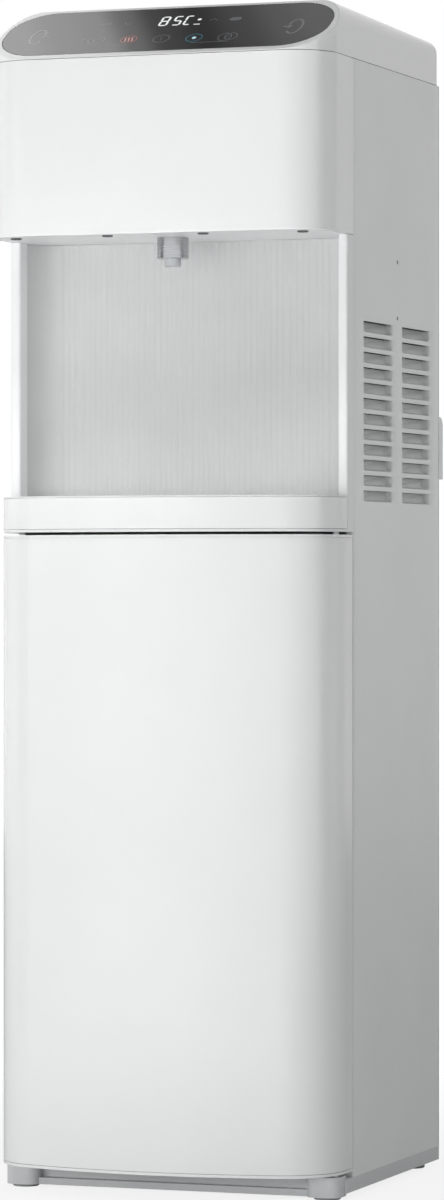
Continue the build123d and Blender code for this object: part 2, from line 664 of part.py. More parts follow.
# Lid of the head: its top falls to the rear, its side edges are rolled, and the sloping
# control face cuts its front. The glass lies in a shallow pocket of the slope.
SLOPE_EDGE_R = 1.1
REAR_EDGE_R = 8.0
GLASS_SIDE_MARGIN = 6.0
GLASS_H = 87.0
GLASS_R = 40.0
GLASS_T = 2.2
GLASS_LOW_MARGIN = 5.9
BOARD_WINDOW_MARGIN = 29.0
BOARD_WINDOW_H = 56.0
glass_w = WIDTH - 2 * GLASS_SIDE_MARGIN
board_window_w = glass_w - 2 * BOARD_WINDOW_MARGIN
lid_fall = REAR_DROP / (HEAD_DEPTH - RIDGE_SETBACK)
lid_shrink = (RIDGE_ROLL_R - REAR_ROLL_R) / (HEAD_DEPTH - RIDGE_SETBACK)
lid_front_top = TOP_Z + lid_fall * (RIDGE_SETBACK + LOFT_OVERRUN)
lid_front_roll = RIDGE_ROLL_R + lid_shrink * (RIDGE_SETBACK + LOFT_OVERRUN)
lid_rear_top = TOP_Z - REAR_DROP - lid_fall * LOFT_OVERRUN
lid_rear_roll = REAR_ROLL_R - lid_shrink * LOFT_OVERRUN
slope = radians(SLOPE_ANGLE)
slope_l = RIDGE_SETBACK / cos(slope)
slope_plane = Plane(
    origin=(0, FRONT_Y + RIDGE_SETBACK / 2, TOP_Z - RIDGE_SETBACK * tan(slope) / 2),
    x_dir=(1, 0, 0),
    z_dir=(0, -sin(slope), cos(slope)),
)
glass_up = GLASS_LOW_MARGIN + GLASS_H / 2 - slope_l / 2


def lid_end(y, top, roll, inset):
    """Cross-section of the lid at one depth, drawn inset from its outside."""
    with BuildSketch(Plane.XZ.offset(-y)) as section:
        with Locations((0, (SEAM_Z + top - inset) / 2)):
            Rectangle(WIDTH - 2 * inset, top - inset - SEAM_Z)
        fillet(section.vertices().group_by(Axis.Y)[-1], roll - inset)
    return section.sketch


def lid_body(inset, slope_inset):
    """Block of the lid, drawn inset from its outside, with the slope cut off its front."""
    front_end = lid_end(FRONT_Y - LOFT_OVERRUN, lid_front_top, lid_front_roll, inset)
    rear_end = lid_end(BACK_Y + LOFT_OVERRUN, lid_rear_top, lid_rear_roll, inset)
    plan = head_plan(inset, BACK_Y - inset)
    with BuildPart() as block:
        loft(sections=[front_end, rear_end])
        with BuildSketch(Plane.XY.offset(SEAM_Z)):
            add(plan)
        extrude(amount=2 * COVER_H, mode=Mode.INTERSECT)
        with BuildSketch(slope_plane.offset(-slope_inset)):
            Rectangle(2 * WIDTH, 2 * HEAD_DEPTH)
        extrude(amount=WIDTH, mode=Mode.SUBTRACT)
    return block.part


lid_outside = lid_body(0, 0)
lid_inside = lid_body(WALL, SLOPE_WALL)
with BuildPart() as top_cover:
    add(lid_outside)
    rear_edges = top_cover.faces().sort_by(Axis.Y)[-1].edges().sort_by(Axis.Z)[-3:]
    fillet(rear_edges, REAR_EDGE_R)
    slope_face = top_cover.faces().filter_by(
        lambda face: face.normal_at().dot(slope_plane.z_dir) > 1 - 1e-6
    )[0]
    fillet(slope_face.edges(), SLOPE_EDGE_R)
    add(lid_inside, mode=Mode.SUBTRACT)
    with BuildSketch(slope_plane):
        with Locations((0, glass_up)):
            RectangleRounded(glass_w + 2 * SEAT, GLASS_H + 2 * SEAT, GLASS_R)
    extrude(amount=-GLASS_T, mode=Mode.SUBTRACT)
    with BuildSketch(slope_plane):
        with Locations((0, glass_up)):
            Rectangle(board_window_w, BOARD_WINDOW_H)
    extrude(amount=-2 * SLOPE_WALL, mode=Mode.SUBTRACT)
write(top_cover.part, "top_cover")

# Touch glass, flush with the slope
GLASS_EDGE = 0.4
with BuildPart() as touch_glass:
    with BuildSketch(slope_plane.offset(-GLASS_T)):
        with Locations((0, glass_up)):
            RectangleRounded(glass_w, GLASS_H, GLASS_R)
    extrude(amount=GLASS_T)
    chamfer(touch_glass.faces().sort_by(Axis.Z)[-1].edges(), GLASS_EDGE)
write(touch_glass.part, "touch_glass")

# Display board under the glass: a plate below the slope wall with a digit block and six keys
# that reach up through the window to the glass
BOARD_EDGE = 4.0
BOARD_T = 1.6
DIGITS_W = 56.0
DIGITS_H = 22.0
KEY_R = 7.0
KEY_MARGIN = 13.0
KEY_PITCH = 128.0
KEY_ROW_PITCH = 30.0
with BuildPart() as display_board:
    with BuildSketch(slope_plane.offset(-SLOPE_WALL)):
        with Locations((0, glass_up)):
            Rectangle(board_window_w + 2 * BOARD_EDGE, BOARD_WINDOW_H + 2 * BOARD_EDGE)
    extrude(amount=-BOARD_T)
    with BuildSketch(slope_plane.offset(-SLOPE_WALL)):
        with Locations((0, glass_up + KEY_ROW_PITCH / 2)):
            Rectangle(DIGITS_W, DIGITS_H)
        with Locations((0, glass_up)):
            with GridLocations(board_window_w - 2 * KEY_MARGIN, KEY_ROW_PITCH, 2, 2):
                Circle(KEY_R)
        with Locations((0, glass_up - KEY_ROW_PITCH / 2)):
            with GridLocations(KEY_PITCH, KEY_ROW_PITCH, 2, 1):
                Circle(KEY_R)
    extrude(amount=SLOPE_WALL - GLASS_T)
write(display_board.part, "display_board")

# Drip tray: the band with the bowed front and its basin, shaped to pass the niche's cheeks
TRAY_END_SETBACK = 67.0
TRAY_SIDE_GAP = 0.5
TRAY_BACK_GAP = 1.0
TRAY_FLOOR = 2.5
GRILLE_T = 1.4
tray_end_y = FRONT_Y + TRAY_END_SETBACK
tray_half = bay_half - TRAY_SIDE_GAP
tray_back_half = flute_half_w - TRAY_SIDE_GAP
tray_back_y = NICHE_Y - TRAY_BACK_GAP
tray_z = BAY_Z + LIP_H + PLAY
grille_z = NICHE_Z - GRILLE_T
tray_h = grille_z - PLAY - tray_z
tray_front = bowed_plan(0, tray_end_y)
basin_front = bowed_plan(WALL, tray_end_y - WALL)


def tray_tail(inset):
    """The narrower rear of the tray's plan, drawn inset from its outside."""
    half, back_half, back_y = tray_half - inset, tray_back_half - inset, tray_back_y - inset
    with BuildSketch() as tail:
        Polygon(
            (half, HINGE_Y),
            (half, PANEL_Y - inset),
            (back_half, back_y),
            (-back_half, back_y),
            (-half, PANEL_Y - inset),
            (-half, HINGE_Y),
            align=None,
        )
    return tail.sketch


tray_rear = tray_tail(0)
basin_rear = tray_tail(WALL)
with BuildPart() as drip_tray:
    with BuildSketch(Plane.XY.offset(tray_z)):
        add(tray_front)
        add(tray_rear)
    extrude(amount=tray_h)
    with BuildSketch(Plane.XY.offset(tray_z + TRAY_FLOOR)):
        add(basin_front)
        add(basin_rear)
    extrude(amount=tray_h, mode=Mode.SUBTRACT)
write(drip_tray.part, "drip_tray")

# Slotted plate on the tray, with two lugs below that keep it in the basin
GRILLE_SLOT_W = 3.0
GRILLE_SLOT_L = 74.0
GRILLE_SLOT_PITCH = 8.0
GRILLE_SLOT_MARGIN = 9.0
GRILLE_SLOT_SETBACK = 62.0
GRILLE_LUG_INSET = 29.5
GRILLE_LUG_T = 2.0
GRILLE_LUG_H = 5.0
grille_slot_count = int(2 * (tray_back_half - GRILLE_SLOT_MARGIN) / GRILLE_SLOT_PITCH)
with BuildPart() as drip_grille:
    with BuildSketch(Plane.XY.offset(grille_z)):
        add(tray_front)
        add(tray_rear)
        with Locations((0, FRONT_Y + GRILLE_SLOT_SETBACK)):
            with GridLocations(GRILLE_SLOT_PITCH, GRILLE_SLOT_L, grille_slot_count, 1):
                SlotOverall(GRILLE_SLOT_L, GRILLE_SLOT_W, rotation=90, mode=Mode.SUBTRACT)
    extrude(amount=GRILLE_T - SEAT)
    with BuildSketch(Plane.XY.offset(grille_z)):
        with Locations((0, tray_back_y - WALL - PLAY - GRILLE_LUG_T / 2)):
            Rectangle(2 * (tray_back_half - GRILLE_LUG_INSET), GRILLE_LUG_T)
    extrude(amount=-GRILLE_LUG_H)
write(drip_grille.part, "drip_grille")

# Door skin: one bowed wall, open behind and at both ends
CAP_T = 2.5
PLUG_H = 6.0
PLUG_WALL = 1.5
GROOVE = 0.4
shell_z = DOOR_Z + CAP_T
shell_top = DOOR_TOP - CAP_T
door_outside = bowed_plan(0, DOOR_BACK_Y)
door_hollow = bowed_plan(WALL, DOOR_BACK_Y + OVERRUN)
with BuildPart() as door_shell:
    with BuildSketch(Plane.XY.offset(shell_z + GROOVE)):
        add(door_outside)
        add(door_hollow, mode=Mode.SUBTRACT)
    extrude(amount=shell_top - shell_z - 2 * GROOVE)
write(door_shell.part, "door_shell")

# End caps of the door: each has a plug inside the skin and a bored boss for its hinge pin
HINGE_BOSS_R = 4.7
HINGE_BOSS_H = 14.0
plug_back_y = DOOR_BACK_Y - LINER_WALL - SEAT
plug_outside = bowed_plan(WALL + SEAT, plug_back_y)
plug_hollow = bowed_plan(WALL + SEAT + PLUG_WALL, plug_back_y - PLUG_WALL)
with BuildPart() as door_end_caps:
    for cap_z, up in ((DOOR_Z, 1), (DOOR_TOP, -1)):
        with BuildSketch(Plane.XY.offset(cap_z)):
            add(door_outside)
        extrude(amount=up * CAP_T)
        with BuildSketch(Plane.XY.offset(cap_z)):
            add(plug_outside)
            add(plug_hollow, mode=Mode.SUBTRACT)
        extrude(amount=up * (CAP_T + PLUG_H))
        with BuildSketch(Plane.XY.offset(cap_z)):
            with Locations((HINGE_X, HINGE_Y)):
                Circle(HINGE_BOSS_R)
        extrude(amount=up * HINGE_BOSS_H)
        with BuildSketch(Plane.XY.offset(cap_z)):
            with Locations((HINGE_X, HINGE_Y)):
                Circle(HINGE_PIN_R + PIN_PLAY)
        extrude(amount=up * HINGE_BOSS_H, mode=Mode.SUBTRACT)
write(door_end_caps.part, "door_end_caps")

# Inner skin of the door: a flat rim and a pan that gives the bottle its room
PAN_SIDE_EDGE = 16.8
PAN_SETBACK = 27.0
PAN_EDGE = 20.0
PAN_R = 8.0
RIM_EDGE = 0.2
rim_w = WIDTH - 2 * (WALL + SEAT)
rim_h = shell_top - shell_z - 2 * RIM_EDGE
rim_mid_z = (shell_top + shell_z) / 2
pan_w = rim_w - 2 * PAN_SIDE_EDGE
pan_h = rim_h - 2 * PAN_EDGE
pan_d = DOOR_BACK_Y - FRONT_Y - PAN_SETBACK
with BuildPart() as door_liner:
    with BuildSketch(Plane.XZ.offset(-DOOR_BACK_Y)):
        with Locations((0, rim_mid_z)):
            Rectangle(rim_w, rim_h)
    extrude(amount=LINER_WALL)
    with BuildSketch(Plane.XZ.offset(-DOOR_BACK_Y)):
        with Locations((0, rim_mid_z)):
            RectangleRounded(pan_w, pan_h, PAN_R)
    extrude(amount=pan_d)
    with BuildSketch(Plane.XZ.offset(-DOOR_BACK_Y)):
        with Locations((0, rim_mid_z)):
            RectangleRounded(pan_w - 2 * LINER_WALL, pan_h - 2 * LINER_WALL, PAN_R - LINER_WALL)
    extrude(amount=pan_d - LINER_WALL, mode=Mode.SUBTRACT)
write(door_liner.part, "door_liner")

# Catch magnets behind the door's free edge
MAGNET_W = 6.0
MAGNET_D = 4.0
MAGNET_H = 40.0
MAGNET_PITCH = 300.0
with BuildPart() as door_magnets:
    with BuildSketch(Plane.XZ.offset(LINER_WALL - DOOR_BACK_Y)):
        with Locations(((MAGNET_W - rim_w) / 2, rim_mid_z)):
            with GridLocations(MAGNET_W, MAGNET_PITCH, 1, 2):
                Rectangle(MAGNET_W, MAGNET_H)
    extrude(amount=MAGNET_D)
write(door_magnets.part, "door_magnets")

# Hinge pins: one stands in the base, the other hangs from the front frame
PIN_RISE = 11.0
lower_pin_z = boss_top - PIN_SINK
with BuildPart() as hinge_pins:
    with BuildSketch(Plane.XY.offset(lower_pin_z)):
        with Locations((HINGE_X, HINGE_Y)):
            Circle(HINGE_PIN_R)
    extrude(amount=DOOR_Z + PIN_RISE - lower_pin_z)
    with BuildSketch(Plane.XY.offset(BAY_Z + LIP_H)):
        with Locations((HINGE_X, HINGE_Y)):
            Circle(HINGE_PIN_R)
    extrude(amount=DOOR_TOP - PIN_RISE - BAY_Z - LIP_H)
write(hinge_pins.part, "hinge_pins")

# Bottle compartment: a liner open to the front, standing on the base. Its floor is raised so
# the bottle clears the lower edge of the door.
LINER_SIDE_GAP = 8.0
FLOOR_RISE = 32.0
LINER_FRONT_GAP = 2.0
INLET_SIDE_GAP = 17.0
INLET_BACK_GAP = 14.0
INLET_R = 7.0
liner_front_y = PANEL_Y + LINER_FRONT_GAP
liner_half_w = HALF_W - LINER_SIDE_GAP
liner_inside_y = FRONT_Y + BOTTLE_SPACE_DEPTH
liner_back_y = liner_inside_y + LINER_WALL
liner_d = liner_back_y - liner_front_y
inlet_x = liner_half_w - INLET_SIDE_GAP
inlet_y = liner_inside_y - INLET_BACK_GAP
with BuildPart() as compartment_liner:
    with BuildSketch(Plane.XY.offset(BASE_TOP)):
        with Locations((0, liner_front_y + liner_d / 2)):
            Rectangle(2 * liner_half_w, liner_d)
    extrude(amount=DOOR_TOP - BASE_TOP)
    with BuildSketch(Plane.XY.offset(BASE_TOP + FLOOR_RISE)):
        with Locations((0, liner_front_y + liner_d / 2 - LINER_WALL)):
            Rectangle(2 * (liner_half_w - LINER_WALL), liner_d)
    extrude(amount=DOOR_TOP - BASE_TOP - FLOOR_RISE - LINER_WALL, mode=Mode.SUBTRACT)
    with BuildSketch(Plane.XY.offset(BASE_TOP)):
        with Locations((0, liner_front_y + liner_d / 2)):
            Rectangle(2 * (liner_half_w - LINER_WALL), liner_d - 2 * LINER_WALL)
    extrude(amount=FLOOR_RISE - LINER_WALL, mode=Mode.SUBTRACT)
    with BuildSketch(Plane.XY.offset(DOOR_TOP)):
        with Locations((inlet_x, inlet_y)):
            Circle(INLET_R)
    extrude(amount=-LINER_WALL, mode=Mode.SUBTRACT)
write(compartment_liner.part, "compartment_liner")

# Shelf on the compartment that carries both tanks and the pump
shelf_half = HALF_W - SHEET - SEAT
shelf_back_y = INSIDE_BACK_Y - SHEET
shelf_d = shelf_back_y - SHELF_FRONT_Y
with BuildPart() as mid_shelf:
    with BuildSketch(Plane.XY.offset(DOOR_TOP)):
        with Locations((0, SHELF_FRONT_Y + shelf_d / 2)):
            Rectangle(2 * shelf_half, shelf_d)
        with Locations((inlet_x, inlet_y)):
            Circle(INLET_R, mode=Mode.SUBTRACT)
    extrude(amount=SHELF_T)
write(mid_shelf.part, "mid_shelf")

# Upper shelf behind the deck: hose holes, and a flange riveted to each side
UPPER_FRONT_SETBACK = 120.0
UPPER_FLANGE_H = 24.0
OUTLET_SHARE = 0.47
INLET_SHARE = 0.62
HOT_OUTLET_SHARE = 0.54
HOSE_HOLE_R = 6.0
upper_front_y = FRONT_Y + UPPER_FRONT_SETBACK
upper_d = shelf_back_y - upper_front_y
upper_top = HEAD_Z + SHELF_T
cold_port_y = COLD_Y - OUTLET_SHARE * COLD_TANK_R
cold_inlet_y = COLD_Y + INLET_SHARE * COLD_TANK_R
hot_port_y = HOT_Y - HOT_OUTLET_SHARE * HOT_TANK_R
with BuildPart() as upper_shelf:
    with BuildSketch(Plane.XY.offset(HEAD_Z)):
        with Locations((0, upper_front_y + upper_d / 2)):
            Rectangle(2 * shelf_half, upper_d)
        with Locations((COLD_X, cold_port_y), (HOT_X, hot_port_y)):
            Circle(HOSE_HOLE_R, mode=Mode.SUBTRACT)
    extrude(amount=SHELF_T)
    with BuildSketch(Plane.XY.offset(HEAD_Z)):
        with Locations((0, upper_front_y + upper_d / 2)):
            with GridLocations(2 * shelf_half - SHELF_T, upper_d, 2, 1):
                Rectangle(SHELF_T, upper_d)
    extrude(amount=-UPPER_FLANGE_H)
write(upper_shelf.part, "upper_shelf")

# Cold tank: a closed can with its outlet and inlet on top and a feed hole at its side
TANK_WALL = 1.5
PORT_R = 4.0
PORT_BORE_R = 2.5
PORT_H = 18.0
FEED_RISE = 14.0
feed_z = COLD_Z + FEED_RISE
with BuildPart() as cold_tank:
    with BuildSketch(Plane.XY.offset(COLD_Z)):
        with Locations((COLD_X, COLD_Y)):
            Circle(COLD_TANK_R)
    extrude(amount=COLD_TANK_H)
    with BuildSketch(Plane.XY.offset(COLD_TOP)):
        with Locations((COLD_X, cold_port_y), (COLD_X, cold_inlet_y)):
            Circle(PORT_R)
    extrude(amount=PORT_H)
    with BuildSketch(Plane.XY.offset(COLD_Z + TANK_WALL)):
        with Locations((COLD_X, COLD_Y)):
            Circle(COLD_TANK_R - TANK_WALL)
    extrude(amount=COLD_TANK_H - 2 * TANK_WALL, mode=Mode.SUBTRACT)
    with BuildSketch(Plane.XY.offset(COLD_TOP - TANK_WALL)):
        with Locations((COLD_X, cold_port_y), (COLD_X, cold_inlet_y)):
            Circle(PORT_BORE_R)
    extrude(amount=PORT_H + TANK_WALL, mode=Mode.SUBTRACT)
    with BuildSketch(Plane.YZ.offset(COLD_X + COLD_TANK_R - FOAM)):
        with Locations((COLD_Y, feed_z)):
            Circle(PORT_R)
    extrude(amount=FOAM, mode=Mode.SUBTRACT)
write(cold_tank.part, "cold_tank")

# Foam around the cold tank, in two halves: a tub and a lid
LID_T = 16.0
BLOCK_W = 40.0
with BuildPart() as tank_insulation:
    with BuildSketch(Plane.XY.offset(SHELF_TOP)):
        with Locations((COLD_X, COLD_Y)):
            Circle(COLD_TANK_R + FOAM)
    extrude(amount=COLD_LIFT + COLD_TANK_H)
    with BuildSketch(Plane.XY.offset(COLD_Z)):
        with Locations((COLD_X, COLD_Y)):
            Circle(COLD_TANK_R)
    extrude(amount=COLD_TANK_H, mode=Mode.SUBTRACT)
    with BuildSketch(Plane.XY.offset(COLD_TOP + SEAT)):
        with Locations((COLD_X, COLD_Y)):
            Circle(COLD_TANK_R + FOAM)
        with Locations((COLD_X, cold_port_y), (COLD_X, cold_inlet_y)):
            Circle(HOSE_HOLE_R, mode=Mode.SUBTRACT)
    extrude(amount=LID_T)
    with BuildSketch(Plane.YZ.offset(COLD_X)):
        with Locations((COLD_Y, feed_z)):
            Circle(PORT_R)
    extrude(amount=2 * COLD_TANK_R, mode=Mode.SUBTRACT)
    with BuildSketch(Plane.XZ.offset(-COLD_Y)):
        with Locations((COLD_X, FAN_Z)):
            Rectangle(BLOCK_W, BLOCK_W)
    extrude(amount=-2 * COLD_TANK_R, mode=Mode.SUBTRACT)
write(tank_insulation.part, "tank_insulation")

# Level float on its stem, hung from the top of the cold tank and resting on the stem's foot
STEM_R = 4.0
STEM_L = 90.0
STEM_FOOT_R = 7.0
STEM_FOOT_H = 2.0
FLOAT_R = 15.0
FLOAT_H = 24.0
STEM_SHARE = 0.42
stem_x = COLD_X - STEM_SHARE * COLD_TANK_R
stem_top = COLD_TOP - TANK_WALL
stem_z = stem_top - STEM_L
with BuildPart() as level_stem:
    with BuildSketch(Plane.XY.offset(stem_z)):
        with Locations((stem_x, COLD_Y)):
            Circle(STEM_R)
    extrude(amount=STEM_L)
    with BuildSketch(Plane.XY.offset(stem_z)):
        with Locations((stem_x, COLD_Y)):
            Circle(STEM_FOOT_R)
    extrude(amount=STEM_FOOT_H)
write(level_stem.part, "level_stem")

with BuildPart() as level_float:
    with BuildSketch(Plane.XY.offset(stem_z + STEM_FOOT_H + PLAY)):
        with Locations((stem_x, COLD_Y)):
            Circle(FLOAT_R)
            Circle(STEM_R + PIN_PLAY, mode=Mode.SUBTRACT)
    extrude(amount=FLOAT_H)
write(level_float.part, "level_float")

# Thermoelectric cooling: a block against the tank, the module, a finned sink and the fan
SINK_BASE_T = 4.0
FIN_T = 1.5
FIN_PITCH = 6.5
FIN_COUNT = 14
FAN_CORNER_R = 5.0
FAN_BORE_R = 42.0
FAN_HUB_R = 17.0
FAN_AXLE_R = 3.0
FAN_SPOKE_W = 4.0
FAN_SPOKE_T = 3.0
FAN_BLADES = 7
FAN_BLADE_T = 2.0
FAN_TIP_GAP = 1.5
BLADE_PITCH = 35.0
module_back_y = BLOCK_BACK_Y + MODULE_T
fan_back_y = INSIDE_BACK_Y
fan_front_y = fan_back_y - FAN_DEPTH
with BuildPart() as cooling_block:
    with BuildSketch(Plane.XY.offset(FAN_Z - BLOCK_W / 2)):
        with Locations((COLD_X, (COLD_Y + BLOCK_BACK_Y) / 2)):
            Rectangle(BLOCK_W, BLOCK_BACK_Y - COLD_Y)
        with Locations((COLD_X, COLD_Y)):
            Circle(COLD_TANK_R, mode=Mode.SUBTRACT)
    extrude(amount=BLOCK_W)
write(cooling_block.part, "cooling_block")

with BuildPart() as cooling_module:
    with BuildSketch(Plane.XZ.offset(-BLOCK_BACK_Y)):
        with Locations((COLD_X, FAN_Z)):
            Rectangle(BLOCK_W, BLOCK_W)
    extrude(amount=-MODULE_T)
write(cooling_module.part, "cooling_module")

with BuildPart() as heat_sink:
    with BuildSketch(Plane.XZ.offset(-module_back_y)):
        with Locations((COLD_X, FAN_Z)):
            Rectangle(FAN_SIZE, FAN_SIZE)
    extrude(amount=-SINK_BASE_T)
    with BuildSketch(Plane.XZ.offset(-module_back_y)):
        with Locations((COLD_X, FAN_Z)):
            with GridLocations(FIN_PITCH, FAN_SIZE, FIN_COUNT, 1):
                Rectangle(FIN_T, FAN_SIZE)
    extrude(amount=-SINK_D)
write(heat_sink.part, "heat_sink")

with BuildPart() as fan_housing:
    with BuildSketch(Plane.XZ.offset(-fan_front_y)):
        with Locations((COLD_X, FAN_Z)):
            RectangleRounded(FAN_SIZE, FAN_SIZE, FAN_CORNER_R)
            Circle(FAN_BORE_R, mode=Mode.SUBTRACT)
    extrude(amount=-FAN_DEPTH)
    with BuildSketch(Plane.XZ.offset(-fan_front_y)):
        with Locations((COLD_X, FAN_Z)):
            Circle(FAN_HUB_R)
            Rectangle(2 * FAN_BORE_R, FAN_SPOKE_W)
            Rectangle(FAN_SPOKE_W, 2 * FAN_BORE_R)
    extrude(amount=-FAN_SPOKE_T)
    with BuildSketch(Plane.XZ.offset(-fan_front_y)):
        with Locations((COLD_X, FAN_Z)):
            Circle(FAN_AXLE_R)
    extrude(amount=-FAN_DEPTH / 2)
write(fan_housing.part, "fan_housing")

rotor_front_y = fan_front_y + FAN_SPOKE_T + PLAY
rotor_d = FAN_DEPTH - FAN_SPOKE_T - 2 * FAN_SPOKE_T
blade_l = FAN_BORE_R - FAN_TIP_GAP
with BuildPart() as fan_rotor:
    with BuildSketch(Plane.XZ.offset(-rotor_front_y)):
        with Locations((COLD_X, FAN_Z)):
            Circle(FAN_HUB_R)
    extrude(amount=-rotor_d)
    for turn in range(FAN_BLADES):
        blade_plane = Plane(
            origin=(COLD_X, rotor_front_y + rotor_d / 2, FAN_Z),
            x_dir=(0, 1, 0),
            z_dir=(cos(2 * pi * turn / FAN_BLADES), 0, sin(2 * pi * turn / FAN_BLADES)),
        )
        with BuildSketch(blade_plane):
            Rectangle(rotor_d, FAN_BLADE_T, rotation=BLADE_PITCH)
        extrude(amount=blade_l)
    with BuildSketch(Plane.XZ.offset(-rotor_front_y)):
        with Locations((COLD_X, FAN_Z)):
            Circle(FAN_BORE_R)
    extrude(amount=-rotor_d, mode=Mode.INTERSECT)
    with BuildSketch(Plane.XZ.offset(-rotor_front_y)):
        with Locations((COLD_X, FAN_Z)):
            Circle(FAN_AXLE_R + PIN_PLAY)
    extrude(amount=-FAN_DEPTH / 2, mode=Mode.SUBTRACT)
write(fan_rotor.part, "fan_rotor")

# Strap over the cold tank, riveted to the sides
STRAP_W = 32.0
STRAP_T = 1.5
STRAP_TAB_H = 34.0
strap_z = COLD_TOP + SEAT + LID_T
with BuildPart() as tank_strap:
    with BuildSketch(Plane.XY.offset(strap_z)):
        with Locations((0, PANEL_MID_Y)):
            Rectangle(2 * shelf_half, STRAP_W)
    extrude(amount=STRAP_T)
    with BuildSketch(Plane.XY.offset(strap_z)):
        with Locations((0, PANEL_MID_Y)):
            with GridLocations(2 * shelf_half - STRAP_T, STRAP_W, 2, 1):
                Rectangle(STRAP_T, STRAP_W)
    extrude(amount=-STRAP_TAB_H)
write(tank_strap.part, "tank_strap")

# Hot tank: a closed can on a ring foot with an outlet on top
FOOT_RING_R = 38.0
DRAIN_PIPE_R = 4.0
with BuildPart() as hot_tank:
    with BuildSketch(Plane.XY.offset(HOT_Z)):
        with Locations((HOT_X, HOT_Y)):
            Circle(HOT_TANK_R)
    extrude(amount=HOT_TANK_H)
    with BuildSketch(Plane.XY.offset(HOT_TOP)):
        with Locations((HOT_X, hot_port_y)):
            Circle(PORT_R)
    extrude(amount=PORT_H)
    with BuildSketch(Plane.XY.offset(SHELF_TOP)):
        with Locations((HOT_X, HOT_Y)):
            Circle(FOOT_RING_R)
            Circle(FOOT_RING_R - TANK_WALL, mode=Mode.SUBTRACT)
    extrude(amount=HOT_LIFT)
    with BuildSketch(Plane.XY.offset(HOT_Z + TANK_WALL)):
        with Locations((HOT_X, HOT_Y)):
            Circle(HOT_TANK_R - TANK_WALL)
    extrude(amount=HOT_TANK_H - 2 * TANK_WALL, mode=Mode.SUBTRACT)
    with BuildSketch(Plane.XY.offset(HOT_TOP - TANK_WALL)):
        with Locations((HOT_X, hot_port_y)):
            Circle(PORT_BORE_R)
    extrude(amount=PORT_H + TANK_WALL, mode=Mode.SUBTRACT)
    with BuildSketch(Plane.YZ.offset(HOT_X - HOT_TANK_R)):
        with Locations((COLD_Y, feed_z)):
            Circle(PORT_R)
    extrude(amount=FOAM, mode=Mode.SUBTRACT)
    with BuildSketch(Plane.XZ.offset(-HOT_Y)):
        with Locations((HOT_X, DRAIN_Z)):
            Circle(DRAIN_PIPE_R)
    extrude(amount=-HOT_TANK_R, mode=Mode.SUBTRACT)
write(hot_tank.part, "hot_tank")

# Band heater around the hot tank, and two thermostats on its side
HEATER_H = 40.0
HEATER_DROP = 5.0
THERMOSTAT_R = 8.0
THERMOSTAT_T = 9.0
THERMOSTAT_PITCH = 24.0
THERMOSTAT_DROP = 30.0
heater_z = HOT_Z + (HOT_TANK_H - HEATER_H) / 2 - HEATER_DROP
with BuildPart() as band_heater:
    with BuildSketch(Plane.XY.offset(heater_z)):
        with Locations((HOT_X, HOT_Y)):
            Circle(HOT_TANK_R + HEATER_T)
            Circle(HOT_TANK_R, mode=Mode.SUBTRACT)
    extrude(amount=HEATER_H)
write(band_heater.part, "band_heater")

with BuildPart() as thermostats:
    with BuildSketch(Plane.YZ.offset(HOT_X)):
        with Locations((HOT_Y, HOT_TOP - THERMOSTAT_DROP)):
            with GridLocations(THERMOSTAT_PITCH, THERMOSTAT_PITCH, 1, 2):
                Circle(THERMOSTAT_R)
    extrude(amount=HOT_TANK_R + THERMOSTAT_T)
    with BuildSketch(Plane.XY.offset(HOT_Z)):
        with Locations((HOT_X, HOT_Y)):
            Circle(HOT_TANK_R)
    extrude(amount=HOT_TANK_H, mode=Mode.SUBTRACT)
write(thermostats.part, "thermostats")

# Pipes between the tanks and from the hot tank to the drain at the back
feed_start_x = COLD_X + COLD_TANK_R - TANK_WALL
feed_end_x = HOT_X - HOT_TANK_R + TANK_WALL
drain_start_y = HOT_Y + HOT_TANK_R - TANK_WALL
drain_end_y = INSIDE_BACK_Y - SHEET
with BuildPart() as tank_pipes:
    with BuildSketch(Plane.YZ.offset(feed_start_x)):
        with Locations((COLD_Y, feed_z)):
            Circle(PORT_R)
            Circle(PORT_BORE_R, mode=Mode.SUBTRACT)
    extrude(amount=feed_end_x - feed_start_x)
    with BuildSketch(Plane.XZ.offset(-drain_start_y)):
        with Locations((HOT_X, DRAIN_Z)):
            Circle(DRAIN_PIPE_R)
            Circle(PORT_BORE_R, mode=Mode.SUBTRACT)
    extrude(amount=drain_start_y - drain_end_y)
write(tank_pipes.part, "tank_pipes")

# Drain: a fitting through the back panel with a cap pushed over it
FITTING_R = 6.8
FITTING_FLANGE_R = 9.0
FITTING_FLANGE_T = 1.5
FITTING_SPOUT_R = 5.0
FITTING_SPOUT_L = 8.0
CAP_R = 8.0
CAP_L = 9.0
CAP_END_T = 2.0
with BuildPart() as drain_fitting:
    with BuildSketch(Plane.XZ.offset(-drain_end_y)):
        with Locations((HOT_X, DRAIN_Z)):
            Circle(FITTING_R)
    extrude(amount=drain_end_y - BACK_Y)
    with BuildSketch(Plane.XZ.offset(-BACK_Y)):
        with Locations((HOT_X, DRAIN_Z)):
            Circle(FITTING_FLANGE_R)
    extrude(amount=-FITTING_FLANGE_T)
    with BuildSketch(Plane.XZ.offset(-BACK_Y)):
        with Locations((HOT_X, DRAIN_Z)):
            Circle(FITTING_SPOUT_R)
    extrude(amount=-FITTING_SPOUT_L)
    with BuildSketch(Plane.XZ.offset(-drain_end_y)):
        with Locations((HOT_X, DRAIN_Z)):
            Circle(PORT_BORE_R)
    extrude(amount=drain_end_y - BACK_Y - FITTING_SPOUT_L, mode=Mode.SUBTRACT)
write(drain_fitting.part, "drain_fitting")

